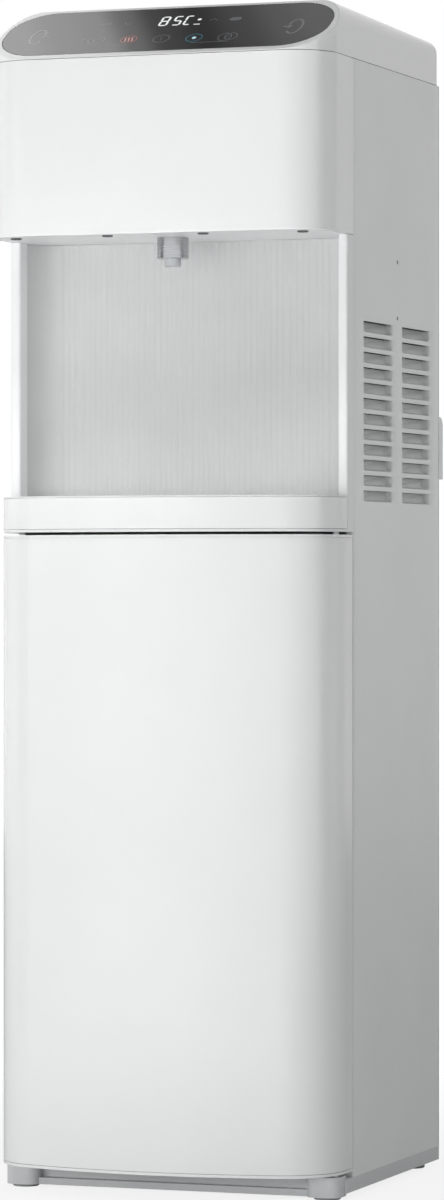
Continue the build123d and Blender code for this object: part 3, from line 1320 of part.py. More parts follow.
cap_y = BACK_Y + FITTING_FLANGE_T + PLAY
with BuildPart() as drain_cap:
    with BuildSketch(Plane.XZ.offset(-cap_y)):
        with Locations((HOT_X, DRAIN_Z)):
            Circle(CAP_R)
    extrude(amount=-CAP_L)
    with BuildSketch(Plane.XZ.offset(-cap_y)):
        with Locations((HOT_X, DRAIN_Z)):
            Circle(FITTING_SPOUT_R + PIN_PLAY)
    extrude(amount=CAP_END_T - CAP_L, mode=Mode.SUBTRACT)
write(drain_cap.part, "drain_cap")

# Pump on the shelf, right above the inlet fitting: a body, its motor and an outlet stub
PUMP_OFFSET = 9.0
PUMP_W = 40.0
PUMP_D = 40.0
PUMP_H = 26.0
PUMP_MOTOR_R = 13.0
PUMP_MOTOR_H = 34.0
PUMP_STUB_BACK = 15.0
PUMP_STUB_H = 10.0
pump_x = inlet_x - PUMP_OFFSET
pump_y = inlet_y + PUMP_STUB_BACK
pump_top = SHELF_TOP + PUMP_H
with BuildPart() as water_pump:
    with BuildSketch(Plane.XY.offset(SHELF_TOP)):
        with Locations((pump_x, pump_y)):
            RectangleRounded(PUMP_W, PUMP_D, HOSE_R)
    extrude(amount=PUMP_H)
    with BuildSketch(Plane.XY.offset(pump_top)):
        with Locations((pump_x, pump_y + HOSE_R)):
            Circle(PUMP_MOTOR_R)
    extrude(amount=PUMP_MOTOR_H)
    with BuildSketch(Plane.XY.offset(pump_top)):
        with Locations((inlet_x, inlet_y)):
            Circle(HOSE_R)
    extrude(amount=PUMP_STUB_H)
write(water_pump.part, "water_pump")

# Fitting through the compartment ceiling and the shelf into the pump
INLET_FLANGE_R = 10.0
INLET_FLANGE_T = 2.5
INLET_STUB_L = 8.0
inlet_flange_z = DOOR_TOP - LINER_WALL - INLET_FLANGE_T
with BuildPart() as probe_inlet:
    with BuildSketch(Plane.XY.offset(inlet_flange_z)):
        with Locations((inlet_x, inlet_y)):
            Circle(INLET_FLANGE_R)
    extrude(amount=INLET_FLANGE_T)
    with BuildSketch(Plane.XY.offset(inlet_flange_z)):
        with Locations((inlet_x, inlet_y)):
            Circle(INLET_R - PIN_PLAY)
    extrude(amount=SHELF_TOP - inlet_flange_z)
    with BuildSketch(Plane.XY.offset(inlet_flange_z)):
        with Locations((inlet_x, inlet_y)):
            Circle(HOSE_R)
    extrude(amount=-INLET_STUB_L)
    with BuildSketch(Plane.XY.offset(inlet_flange_z - INLET_STUB_L)):
        with Locations((inlet_x, inlet_y)):
            Circle(HOSE_BORE_R)
    extrude(amount=SHELF_TOP - inlet_flange_z + INLET_STUB_L, mode=Mode.SUBTRACT)
write(probe_inlet.part, "probe_inlet")

# Bottle probe in its parked place: a long tube with the cap that closes the bottle's neck
PROBE_SIDE_GAP = 4.0
PROBE_BACK_GAP = 27.0
PROBE_R = 7.0
PROBE_BORE_R = 2.5
PROBE_LIFT = 40.5
PROBE_DROP = 64.0
PROBE_CAP_R = 22.0
PROBE_CAP_DROP = 42.0
PROBE_CAP_H = 22.0
probe_x = LINER_WALL + PROBE_SIDE_GAP + PROBE_CAP_R - liner_half_w
probe_y = liner_inside_y - PROBE_BACK_GAP
probe_z = BASE_TOP + FLOOR_RISE + PROBE_LIFT
probe_top = DOOR_TOP - PROBE_DROP
probe_cap_z = probe_top - PROBE_CAP_DROP
with BuildPart() as bottle_probe:
    with BuildSketch(Plane.XY.offset(probe_z)):
        with Locations((probe_x, probe_y)):
            Circle(PROBE_R)
    extrude(amount=probe_top - probe_z)
    with BuildSketch(Plane.XY.offset(probe_cap_z)):
        with Locations((probe_x, probe_y)):
            Circle(PROBE_CAP_R)
    extrude(amount=PROBE_CAP_H)
    with BuildSketch(Plane.XY.offset(probe_cap_z)):
        with Locations((probe_x, probe_y)):
            Circle(PROBE_CAP_R - LINER_WALL)
            Circle(PROBE_R, mode=Mode.SUBTRACT)
    extrude(amount=PROBE_CAP_H - LINER_WALL, mode=Mode.SUBTRACT)
    with BuildSketch(Plane.XY.offset(probe_z)):
        with Locations((probe_x, probe_y)):
            Circle(PROBE_BORE_R)
    extrude(amount=probe_top - probe_z, mode=Mode.SUBTRACT)
write(bottle_probe.part, "bottle_probe")

# Clips on the back of the compartment: one for the probe and one for its hose
LOOP_W = 55.0
LOOP_DROP = 24.0
LOOP_H = 230.0
CLIP_DROP = 120.0
CLIP_H = 20.0
CLIP_MARGIN = 3.0
HOSE_CLIP_DROP = 110.0
CLIP_MOUTH_SHARE = 0.8
loop_x = inlet_x - LOOP_W
loop_top = DOOR_TOP - LOOP_DROP
loop_low = loop_top - LOOP_H
with BuildPart() as probe_holder:
    for x, y, r, z in (
        (probe_x, probe_y, PROBE_R, probe_top - CLIP_DROP),
        (loop_x, inlet_y, HOSE_R, loop_top - HOSE_CLIP_DROP),
    ):
        with BuildSketch(Plane.XY.offset(z)):
            with Locations((x, (y + liner_inside_y) / 2)):
                Rectangle(2 * (r + CLIP_MARGIN), liner_inside_y - y)
            with Locations((x, y)):
                Circle(r + CLIP_MARGIN)
                Circle(r + PIN_PLAY, mode=Mode.SUBTRACT)
            with Locations((x, y - r)):
                Rectangle(2 * CLIP_MOUTH_SHARE * r, 2 * r, mode=Mode.SUBTRACT)
        extrude(amount=CLIP_H)
write(probe_holder.part, "probe_holder")

# Hose from the probe to the inlet fitting, with a slack loop so the probe lifts out
LOOP_R = 24.0
suction_hose = hose(
    [
        (probe_x, probe_y, probe_top),
        (probe_x, probe_y, loop_top),
        (loop_x, inlet_y, loop_top),
        (loop_x, inlet_y, loop_low),
        (inlet_x, inlet_y, loop_low),
        (inlet_x, inlet_y, inlet_flange_z - INLET_STUB_L),
    ],
    LOOP_R,
)
write(suction_hose, "suction_hose")

# Hose from the pump to the cold tank's inlet
DELIVERY_DROP = 15.5
DELIVERY_R = 14.0
delivery_z = HEAD_Z - DELIVERY_DROP
delivery_hose = hose(
    [
        (inlet_x, inlet_y, pump_top + PUMP_STUB_H),
        (inlet_x, inlet_y, delivery_z),
        (COLD_X, inlet_y, delivery_z),
        (COLD_X, cold_inlet_y, delivery_z),
        (COLD_X, cold_inlet_y, COLD_TOP + PORT_H),
    ],
    DELIVERY_R,
)
write(delivery_hose, "delivery_hose")

# Manifold above the outlet, with the bore that takes the spout
MANIFOLD_W = 48.0
MANIFOLD_FRONT_SETBACK = 42.0
MANIFOLD_BACK_SETBACK = 100.0
MANIFOLD_H = 28.0
deck_top = HEAD_Z + DECK_T
manifold_mid_y = FRONT_Y + (MANIFOLD_FRONT_SETBACK + MANIFOLD_BACK_SETBACK) / 2
with BuildPart() as outlet_manifold:
    with BuildSketch(Plane.XY.offset(deck_top)):
        with Locations((0, manifold_mid_y)):
            RectangleRounded(MANIFOLD_W, MANIFOLD_BACK_SETBACK - MANIFOLD_FRONT_SETBACK, HOSE_R)
    extrude(amount=MANIFOLD_H)
    with BuildSketch(Plane.XY.offset(deck_top)):
        with Locations((0, nozzle_y)):
            Circle(SPOUT_R + PIN_PLAY)
    extrude(amount=spout_z + SLEEVE_L + SPOUT_DROP + SPOUT_RISE - deck_top, mode=Mode.SUBTRACT)
write(outlet_manifold.part, "outlet_manifold")

# One solenoid valve on each side of the manifold
VALVE_W = 24.0
VALVE_D = 34.0
VALVE_H = 30.0
VALVE_BACK_SETBACK = 112.0
COIL_R = 11.0
COIL_H = 26.0
valve_x = (MANIFOLD_W + VALVE_W) / 2
valve_back_y = FRONT_Y + VALVE_BACK_SETBACK
valve_y = valve_back_y - VALVE_D / 2
with BuildPart() as outlet_valves:
    with BuildSketch(Plane.XY.offset(deck_top)):
        with Locations((-valve_x, valve_y), (valve_x, valve_y)):
            Rectangle(VALVE_W, VALVE_D)
    extrude(amount=VALVE_H)
    with BuildSketch(Plane.XY.offset(deck_top + VALVE_H)):
        with Locations((-valve_x, valve_y), (valve_x, valve_y)):
            Circle(COIL_R)
    extrude(amount=COIL_H)
write(outlet_valves.part, "outlet_valves")

# Hoses from the two tanks up through the shelf to their valves
OUTLET_RISE = 23.5
OUTLET_R = 14.0
outlet_z = HEAD_Z + OUTLET_RISE
cold_outlet_hose = hose(
    [
        (COLD_X, cold_port_y, COLD_TOP + PORT_H),
        (COLD_X, cold_port_y, outlet_z),
        (-valve_x, cold_port_y, outlet_z),
        (-valve_x, valve_back_y, outlet_z),
    ],
    OUTLET_R,
)
hot_outlet_hose = hose(
    [
        (HOT_X, hot_port_y, HOT_TOP + PORT_H),
        (HOT_X, hot_port_y, outlet_z),
        (valve_x, hot_port_y, outlet_z),
        (valve_x, valve_back_y, outlet_z),
    ],
    OUTLET_R,
)
with BuildPart() as outlet_hoses:
    add(cold_outlet_hose)
    add(hot_outlet_hose)
write(outlet_hoses.part, "outlet_hoses")

# Power board on four posts, with a transformer, a relay and a capacitor
POWER_SIDE_GAP = 38.8
POWER_BACK_GAP = 20.0
POWER_W = 120.0
POWER_D = 90.0
POST_H = 6.0
POST_R = 3.0
POST_EDGE = 6.0
TRAFO_W = 40.0
TRAFO_H = 30.0
RELAY_W = 18.0
RELAY_H = 15.0
CAPACITOR_R = 8.0
CAPACITOR_H = 24.0
power_x = shelf_half - POWER_SIDE_GAP - POWER_W / 2
power_y = shelf_back_y - POWER_BACK_GAP - POWER_D / 2
power_top = upper_top + POST_H + BOARD_T
with BuildPart() as power_board:
    with BuildSketch(Plane.XY.offset(upper_top)):
        with Locations((power_x, power_y)):
            with GridLocations(POWER_W - 2 * POST_EDGE, POWER_D - 2 * POST_EDGE, 2, 2):
                Circle(POST_R)
    extrude(amount=POST_H)
    with BuildSketch(Plane.XY.offset(upper_top + POST_H)):
        with Locations((power_x, power_y)):
            Rectangle(POWER_W, POWER_D)
    extrude(amount=BOARD_T)
    with BuildSketch(Plane.XY.offset(power_top)):
        with Locations((power_x - TRAFO_W / 2, power_y)):
            Rectangle(TRAFO_W, TRAFO_W)
    extrude(amount=TRAFO_H)
    with BuildSketch(Plane.XY.offset(power_top)):
        with Locations((power_x + TRAFO_W / 2, power_y)):
            with GridLocations(RELAY_W, TRAFO_W, 1, 2):
                Rectangle(RELAY_W, RELAY_W)
    extrude(amount=RELAY_H)
    with BuildSketch(Plane.XY.offset(power_top)):
        with Locations((power_x + TRAFO_W, power_y)):
            Circle(CAPACITOR_R)
    extrude(amount=CAPACITOR_H)
write(power_board.part, "power_board")

# Switch plate on the back: a flange outside, a box behind the window, and a bored cell for
# each rocker
PLATE_EDGE = 3.0
PLATE_T = 1.5
SWITCH_BOX_D = 16.0
CELL_D = 12.0
CELL_W = 12.6
CELL_H = 22.6
ROCKER_W = 12.0
PIVOT_SINK = 3.5
PIVOT_R = 1.2
PIVOT_L = 14.8
ROCKER_TILT = 6.0
ROCKER_H = 20.0
ROCKER_MID = 3.2
ROCKER_TIP = 4.9
ROCKER_LIP = 1.0
ROCKER_ROOT = 5.0
ROCKER_ROOT_H = 8.0
pivot_y = BACK_Y - PIVOT_SINK
switch_xs = (switch_x - SWITCH_PITCH / 2, switch_x + SWITCH_PITCH / 2)
with BuildPart() as switch_plate:
    with BuildSketch(Plane.XZ.offset(-BACK_Y)):
        with Locations((switch_x, switch_z)):
            RectangleRounded(
                SWITCH_WINDOW_W + 2 * PLATE_EDGE, SWITCH_WINDOW_H + 2 * PLATE_EDGE, PLATE_EDGE
            )
    extrude(amount=-PLATE_T)
    with BuildSketch(Plane.XZ.offset(-BACK_Y)):
        with Locations((switch_x, switch_z)):
            Rectangle(SWITCH_WINDOW_W - 2 * SEAT, SWITCH_WINDOW_H - 2 * SEAT)
    extrude(amount=SWITCH_BOX_D)
    with BuildSketch(Plane.XZ.offset(-BACK_Y - PLATE_T)):
        with Locations((switch_x, switch_z)):
            with GridLocations(SWITCH_PITCH, CELL_H, 2, 1):
                Rectangle(CELL_W, CELL_H)
    extrude(amount=CELL_D + PLATE_T, mode=Mode.SUBTRACT)
    for x in switch_xs:
        with BuildSketch(Plane.YZ.offset(x - PIVOT_L / 2 - PIN_PLAY)):
            with Locations((pivot_y, switch_z)):
                Circle(PIVOT_R + PIN_PLAY)
        extrude(amount=PIVOT_L + 2 * PIN_PLAY, mode=Mode.SUBTRACT)
write(switch_plate.part, "switch_plate")


def rocker(x):
    """Rocker of one switch, tilted to its rest, with its pivot pins."""
    with BuildPart() as body:
        with BuildSketch(Plane.YZ.offset(x - ROCKER_W / 2)):
            with Locations(Location((pivot_y, switch_z, 0), (0, 0, -ROCKER_TILT))):
                Polygon(
                    (ROCKER_MID, 0),
                    (ROCKER_TIP, ROCKER_H / 2),
                    (ROCKER_LIP, ROCKER_H / 2),
                    (-ROCKER_ROOT, ROCKER_ROOT_H / 2),
                    (-ROCKER_ROOT, -ROCKER_ROOT_H / 2),
                    (ROCKER_LIP, -ROCKER_H / 2),
                    (ROCKER_TIP, -ROCKER_H / 2),
                    align=None,
                )
        extrude(amount=ROCKER_W)
        with BuildSketch(Plane.YZ.offset(x - PIVOT_L / 2)):
            with Locations((pivot_y, switch_z)):
                Circle(PIVOT_R)
        extrude(amount=PIVOT_L)
    return body.part


write(rocker(switch_xs[0]), "hot_switch")
write(rocker(switch_xs[1]), "cold_switch")

# Gland where the cord leaves through the back panel; the cord itself is left out
GLAND_FLANGE_R = 11.0
GLAND_FLANGE_T = 3.0
GLAND_NUT_T = 4.0
GLAND_BORE_R = 3.5
with BuildPart() as cord_gland:
    with BuildSketch(Plane.XZ.offset(-BACK_Y)):
        with Locations((gland_x, gland_z)):
            Circle(GLAND_FLANGE_R)
    extrude(amount=-GLAND_FLANGE_T)
    with BuildSketch(Plane.XZ.offset(-BACK_Y)):
        with Locations((gland_x, gland_z)):
            Circle(GLAND_HOLE_R - PIN_PLAY)
    extrude(amount=SHEET)
    with BuildSketch(Plane.XZ.offset(-INSIDE_BACK_Y)):
        with Locations((gland_x, gland_z)):
            RegularPolygon(GLAND_FLANGE_R, 6)
    extrude(amount=GLAND_NUT_T)
    with BuildSketch(Plane.XZ.offset(-BACK_Y - GLAND_FLANGE_T)):
        with Locations((gland_x, gland_z)):
            Circle(GLAND_BORE_R)
    extrude(amount=GLAND_FLANGE_T + SHEET + GLAND_NUT_T, mode=Mode.SUBTRACT)
write(cord_gland.part, "cord_gland")
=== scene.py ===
from math import cos, pi, radians, sin

import bmesh
import bpy
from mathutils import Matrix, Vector


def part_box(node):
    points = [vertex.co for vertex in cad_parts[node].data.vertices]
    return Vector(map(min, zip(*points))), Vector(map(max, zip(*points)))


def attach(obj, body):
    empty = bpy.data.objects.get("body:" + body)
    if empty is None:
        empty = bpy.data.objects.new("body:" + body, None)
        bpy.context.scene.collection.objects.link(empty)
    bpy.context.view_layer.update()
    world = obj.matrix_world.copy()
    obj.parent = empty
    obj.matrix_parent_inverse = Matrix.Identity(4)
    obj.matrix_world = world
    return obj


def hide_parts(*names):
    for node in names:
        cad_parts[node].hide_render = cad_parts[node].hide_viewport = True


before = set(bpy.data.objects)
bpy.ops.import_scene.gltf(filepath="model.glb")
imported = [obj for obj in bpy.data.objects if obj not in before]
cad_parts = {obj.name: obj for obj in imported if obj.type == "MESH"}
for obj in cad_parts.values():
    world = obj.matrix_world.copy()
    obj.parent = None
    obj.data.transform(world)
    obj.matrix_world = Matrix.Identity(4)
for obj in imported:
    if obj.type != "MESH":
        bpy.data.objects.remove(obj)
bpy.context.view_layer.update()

scene = bpy.context.scene
scene.view_settings.view_transform = "Standard"

# The view of the photograph: a level camera with a long lens, at half the cooler's height and
# to its right, so the upright edges stay parallel and the right side shows as a narrow band.
EYE = (1.4875, -4.0794, 0.5375)
SIGHT = (-0.3415, 0.9399, 0.0)
LENS_MM = 143.04
FILM_MM = 36.0
FRAME_SHIFT = -0.0103


def add_object(name, data):
    """A new object in the scene, made of a mesh, a lamp or a camera."""
    thing = bpy.data.objects.new(name, data)
    scene.collection.objects.link(thing)
    return thing


def point(thing, place, direction):
    """Stands a camera or a lamp at a place, facing a direction."""
    thing.location = place
    thing.rotation_euler = Vector(direction).to_track_quat("-Z", "Y").to_euler()


camera = add_object("camera", bpy.data.cameras.new("camera"))
point(camera, EYE, SIGHT)
camera.data.lens = LENS_MM
camera.data.sensor_width = FILM_MM
camera.data.shift_y = FRAME_SHIFT
scene.camera = camera


# Base: one shallow tray injection-moulded in light grey polypropylene, ribbed below, with a
# raised boss at each front corner. Four round rubber pads are pushed on under it.
MM = 0.001
MIDDLE = (0.3, 0.7)           # the part of a noise that most of it lies in
CLOUD_MM = 40.0
CLOUD_GLOSS = 0.05
TONE_A, TONE_B, TONE_OUT = 6, 7, 2     # the colour sockets of a Mix node


def linear(colour):
    """Colour written as sRGB hex, as the linear values that a shader takes."""
    parts = [int(colour[i : i + 2], 16) / 255 for i in (1, 3, 5)]
    return [c / 12.92 if c <= 0.04045 else ((c + 0.055) / 1.055) ** 2.4 for c in parts] + [1.0]


def feed(tree, node, inputs):
    """Sets a node's inputs: from a node's first output or a socket, a hex colour or a value."""
    for name, value in inputs.items():
        if isinstance(value, bpy.types.Node):
            value = value.outputs[0]
        if isinstance(value, bpy.types.NodeSocket):
            tree.links.new(value, node.inputs[name])
        else:
            node.inputs[name].default_value = linear(value) if isinstance(value, str) else value


def add_node(tree, kind, inputs=None, **settings):
    """One more node with its settings, fed with its inputs."""
    node = tree.nodes.new(kind)
    for name, value in settings.items():
        setattr(node, name, value)
    feed(tree, node, inputs or {})
    return node


def noise_scale(size_mm):
    """Scale at which a noise has blotches about size_mm across."""
    return 0.5 / (size_mm * MM)


def new_finish(name, **sockets):
    """A material with its shader's own sockets set; gives its tree, shader and coordinates."""
    material = bpy.data.materials.new(name)
    material.use_nodes = True
    tree = material.node_tree
    shader = tree.nodes["Principled BSDF"]
    feed(tree, shader, {socket.replace("_", " "): value for socket, value in sockets.items()})
    return material, tree, shader, add_node(tree, "ShaderNodeTexCoord").outputs["Object"]


def vary(tree, shader, tones, gloss=None, relief=None):
    """Varies a finish by its patterns. Tones are a pattern and two colours, gloss is a pattern
    and two roughnesses, and either may end in the span of the pattern that it runs over: without
    one, tones take the whole and gloss the middle. Relief is a pattern and its depth in mm."""
    pattern, dark, pale, *span = tones
    if span:
        start, stop = span
        pattern = add_node(
            tree, "ShaderNodeMapRange", {"Value": pattern, "From Min": start, "From Max": stop}
        )
    mix = add_node(
        tree, "ShaderNodeMix", {"Factor": pattern, TONE_A: dark, TONE_B: pale}, data_type="RGBA"
    )
    feed(tree, shader, {"Base Color": mix.outputs[TONE_OUT]})
    if gloss:
        pattern, smooth, rough, *span = gloss
        start, stop = span or MIDDLE
        wear = add_node(
            tree,
            "ShaderNodeMapRange",
            {"Value": pattern, "From Min": start, "From Max": stop,
             "To Min": smooth, "To Max": rough},
        )
        feed(tree, shader, {"Roughness": wear})
    if relief:
        pattern, depth_mm = relief
        bump = add_node(tree, "ShaderNodeBump", {"Height": pattern, "Distance": depth_mm * MM})
        feed(tree, shader, {"Normal": bump})


def finish(name, patterns, tones, gloss=None, relief=None, **sockets):
    """A finish varied by noise. Patterns give each noise a name, the size of its blotches in mm,
    its detail and, for a drawn one, its stretch. Tones, gloss and relief start with a name."""
    material, tree, shader, place = new_finish(name, **sockets)
    noises = {}
    for pattern, (size_mm, detail, *stretch) in patterns.items():
        where = place
        if stretch:
            where = add_node(tree, "ShaderNodeMapping", {"Vector": place, "Scale": stretch[0]})
        noises[pattern] = add_node(
            tree,
            "ShaderNodeTexNoise",
            {"Vector": where, "Scale": noise_scale(size_mm), "Detail": detail},
        )
    vary(tree, shader, *(use and (noises[use[0]], *use[1:]) for use in (tones, gloss, relief)))
    return material


def moulded(name, dark, pale, roughness, grain_mm, grain_depth_mm, ior=1.54):
    """Injection-moulded plastic with an eroded grain, a little cloudy in colour and gloss. A real
    grain is 0.1 to 0.3 mm wide, too fine to show, so it is drawn as coarse as it needs to be."""
    return finish(
        name,
        {"grain": (grain_mm, 2.0), "cloud": (CLOUD_MM, 3.0)},
        tones=("cloud", dark, pale, *MIDDLE),
        gloss=("cloud", roughness - CLOUD_GLOSS, roughness + CLOUD_GLOSS),
        relief=("grain", grain_depth_mm),
        IOR=ior,
    )


def dress(material, *nodes):
    """Gives a finish to CAD nodes whose shape stays as it is."""
    for node in nodes:
        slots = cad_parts[node].data.materials
        slots.clear()
        slots.append(material)


# Polypropylene from an eroded mould: softer and duller than the glossy shells above it
polypropylene = moulded("polypropylene_moulded", "#d3d5d6", "#dadcdd", 0.48, 1.2, 0.03, 1.49)
dress(polypropylene, "base_plinth")

# Pale grey rubber: dead matt, with dust in its pores
rubber = moulded("rubber_pads", "#a3a5a6", "#aeb0b0", 0.82, 0.8, 0.06, 1.52)
dress(rubber, "base_feet")


# Side panels: 1 mm steel sheet, folded at the front and back, with two columns of louvres
# pressed inwards from their lower edges, so each mouth is on top. Rivets go through two holes.
SHEET = 1.0 * MM
FOLD_R = 1.5 * MM
FOLD_STEPS = 4
FRONT_FLANGE = 7.0 * MM
REAR_FLANGE = 13.0 * MM
LOUVRE_L = 84.0 * MM
LOUVRE_H = 10.0 * MM
LOUVRE_CORNER_R = 4.5 * MM
LOUVRE_LEAST_R = 0.4 * MM
LOUVRE_TURNS = 6
LOUVRE_ROWS = 12
ROW_PITCH = 13.7 * MM
COLUMN_PITCH = 111.5 * MM
LOUVRE_MID_Z = 694.3 * MM
TONGUE_LEAN = 0.3
RIVET_R = 1.85 * MM
RIVET_TURNS = 10
WELD = 0.02 * MM
SHEET_EDGE = 40.0             # degrees from which a fold of the sheet shows as an edge
# How the press rounds the tongue's edge: distance from the opening's edge, and depth below it
PRESSED = [(0.0, 0.0), (0.2, 0.12), (0.5, 0.7), (0.8, 2.2), (1.1, 4.2), (1.5, 5.4), (2.0, 5.8)]

# Polyester powder baked to a skin: its faint orange peel softens every reflection a little
powder_coat = finish(
    "steel_powder_coated_white",
    {"peel": (2.6, 1.0), "flow": (45.0, 2.0)},
    tones=("flow", "#eef0f0", "#f2f3f3", *MIDDLE),
    gloss=("peel", 0.30, 0.38),
    relief=("peel", 0.012),
    IOR=1.5,
)


def bend(middle, reach, first, last, steps):
    """Points along an ellipse around a middle, from one angle to another in degrees."""
    angles = [radians(first + (last - first) * step / steps) for step in range(steps + 1)]
    return [(middle[0] + cos(a) * reach[0], middle[1] + sin(a) * reach[1]) for a in angles]


def as_mesh(shape, name):
    """Closes the work on a shape and gives it as a mesh."""
    mesh = bpy.data.meshes.new(name)
    shape.to_mesh(mesh)
    shape.free()
    return mesh


def tongue_rim(inset):
    """Edge of a pressed tongue, from its upper front corner round the bottom to the other."""
    r = max(LOUVRE_CORNER_R - inset, LOUVRE_LEAST_R)
    half, foot = LOUVRE_L / 2 - inset, inset - LOUVRE_H / 2
    front = [(-half, LOUVRE_H / 2)] + bend((r - half, foot + r), (r, r), 180, 270, LOUVRE_TURNS)
    return front + [(-u, v) for u, v in reversed(front)]


def louvre_cell(side):
    """One pitch of the sheet with its tongue, around its own middle."""
    shape = bmesh.new()
    rings = []
    for inset, depth in PRESSED:
        ring = []
        for u, v in tongue_rim(inset * MM):
            lean = 1 + TONGUE_LEAN * (v / LOUVRE_H + 0.5)
            ring.append(shape.verts.new((-side * depth * MM * lean, u, v)))
        rings.append(ring)
    for outer, inner in zip(rings, rings[1:]):
        for i in range(len(outer) - 1):
            shape.faces.new((outer[i], outer[i + 1], inner[i + 1], inner[i]))
    shape.faces.new(rings[-1])
    rim = rings[0]
    near = 1 + LOUVRE_TURNS // 2
    far = len(rim) - 1 - near
    a, b = COLUMN_PITCH / 2, ROW_PITCH / 2
    low_front, low_back, top_back, top_front = (
        shape.verts.new((0, u, v)) for u, v in ((-a, -b), (a, -b), (a, b), (-a, b))
    )
    shape.faces.new([top_front, rim[0], rim[-1], top_back])
    shape.faces.new([top_front, low_front] + rim[near::-1])
    shape.faces.new([low_front, low_back] + rim[far:near - 1:-1])
    shape.faces.new([low_back, top_back] + rim[:far - 1:-1])
    if side < 0:
        bmesh.ops.reverse_faces(shape, faces=shape.faces[:])
    return as_mesh(shape, "louvre_cell")


def rivet_heights(side):
    """Heights of the two rivets on one side, to half a millimetre, from the CAD's points."""
    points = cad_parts["panel_rivets"].data.vertices
    heights = {round(v.co.z, 3) for v in points if v.co.x * side > 0}
    lower = [z for z in heights if z < (min(heights) + max(heights)) / 2]
    upper = [z for z in heights if z not in lower]
    return [(min(group) + max(group)) / 2 for group in (lower, upper)]


def folded_sheet(side, low, high):
    """The sheet with its folds and two rivet holes, open where the louvres go."""
    mid_y = (low[1] + high[1] + SHEET) / 2
    half_w = high[0] if side > 0 else -low[0]
    fold_x, fold = half_w - FOLD_R, (FOLD_R, FOLD_R)
    section = [(half_w - FRONT_FLANGE, low[1])]
    section += bend((fold_x, low[1] + FOLD_R), fold, -90, 0, FOLD_STEPS)
    window = len(section)
    section += [(half_w, mid_y + k * COLUMN_PITCH) for k in (-1, 0, 1)]
    section += bend((fold_x, high[1] - FOLD_R), fold, 0, 90, FOLD_STEPS)
    section.append((half_w - REAR_FLANGE, high[1]))
    first = LOUVRE_MID_Z - LOUVRE_ROWS / 2 * ROW_PITCH
    levels = [low[2]] + [first + k * ROW_PITCH for k in range(LOUVRE_ROWS + 1)] + [high[2]]
    shape = bmesh.new()
    rows = [[shape.verts.new((side * x, y, z)) for x, y in section] for z in levels]
    for r in range(len(levels) - 1):
        for c in range(len(section) - 1):
            if window <= c < window + 2 and r > 0:
                continue
            shape.faces.new((rows[r][c], rows[r][c + 1], rows[r + 1][c + 1], rows[r + 1][c]))
    front_half, back_half = [], []
    for z in rivet_heights(side):
        ring = bend((mid_y, z), (RIVET_R, RIVET_R), -90, -450, 2 * RIVET_TURNS)[:-1]
        hole = [shape.verts.new((side * half_w, *spot)) for spot in ring]
        front_half += hole[: RIVET_TURNS + 1]
        back_half += [hole[0]] + hole[:RIVET_TURNS - 1:-1]
    below, above = rows[-2][window:window + 3], rows[-1][window:window + 3]
    shape.faces.new([above[0], below[0], below[1]] + front_half + [above[1]])
    shape.faces.new([below[1], below[2], above[2], above[1]] + back_half[::-1])
    if side < 0:
        bmesh.ops.reverse_faces(shape, faces=shape.faces[:])
    return as_mesh(shape, "folded_sheet")


def new_recipe(name, **sizes):
    """A Geometry Nodes tree with its named inputs; gives it and their sockets."""
    recipe = bpy.data.node_groups.new(name, "GeometryNodeTree")
    face = recipe.interface
    face.new_socket("Geometry", in_out="INPUT", socket_type="NodeSocketGeometry")
    for label, kind in sizes.items():
        face.new_socket(
            label.replace("_", " "), in_out="INPUT", socket_type="NodeSocket" + kind
        )
    face.new_socket("Geometry", in_out="OUTPUT", socket_type="NodeSocketGeometry")
    return recipe, recipe.nodes.new("NodeGroupInput").outputs


def end_recipe(recipe, geometry, material):
    """Ends a tree in real faces that carry one finish."""
    real = add_node(recipe, "GeometryNodeRealizeInstances", {"Geometry": geometry})
    coated = add_node(
        recipe, "GeometryNodeSetMaterial", {"Geometry": real, "Material": material}
    )
    add_node(recipe, "NodeGroupOutput", {"Geometry": coated})


def evaluated(thing):
    """The mesh that an object's modifiers make of it."""
    return bpy.data.meshes.new_from_object(
        thing.evaluated_get(bpy.context.evaluated_depsgraph_get())
    )


def follow(recipe, name, start, wall=0.0, **sizes):
    """Runs a recipe on a starting mesh and gives the result, with its wall, as a plain mesh."""
    maker = add_object(name + "_maker", start)
    steps = maker.modifiers.new("recipe", "NODES")
    steps.node_group = recipe
    wanted = {label.replace("_", " "): value for label, value in sizes.items()}
    for item in recipe.interface.items_tree:
        if item.item_type == "SOCKET" and item.in_out == "INPUT" and item.name in wanted:
            steps[item.identifier] = wanted[item.name]
    if wall:
        gauge = maker.modifiers.new("gauge", "SOLIDIFY")
        gauge.thickness = wall
        gauge.offset = -1.0
        gauge.use_even_offset = True
    mesh = evaluated(maker)
    bpy.data.objects.remove(maker)
    mesh.name = name
    return mesh


def put(name, mesh, slot, *stands_for, edge=30.0):
    """Sets a finished mesh in its place on the cabinet, in the stead of the CAD nodes that it
    stands for. Its faces shade smoothly where they meet at less than the edge in degrees."""
    mesh.shade_smooth()
    mesh.set_sharp_from_angle(angle=radians(edge))
    piece = add_object(name, mesh)
    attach(piece, "cabinet")
    if stands_for:
        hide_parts(*stands_for)


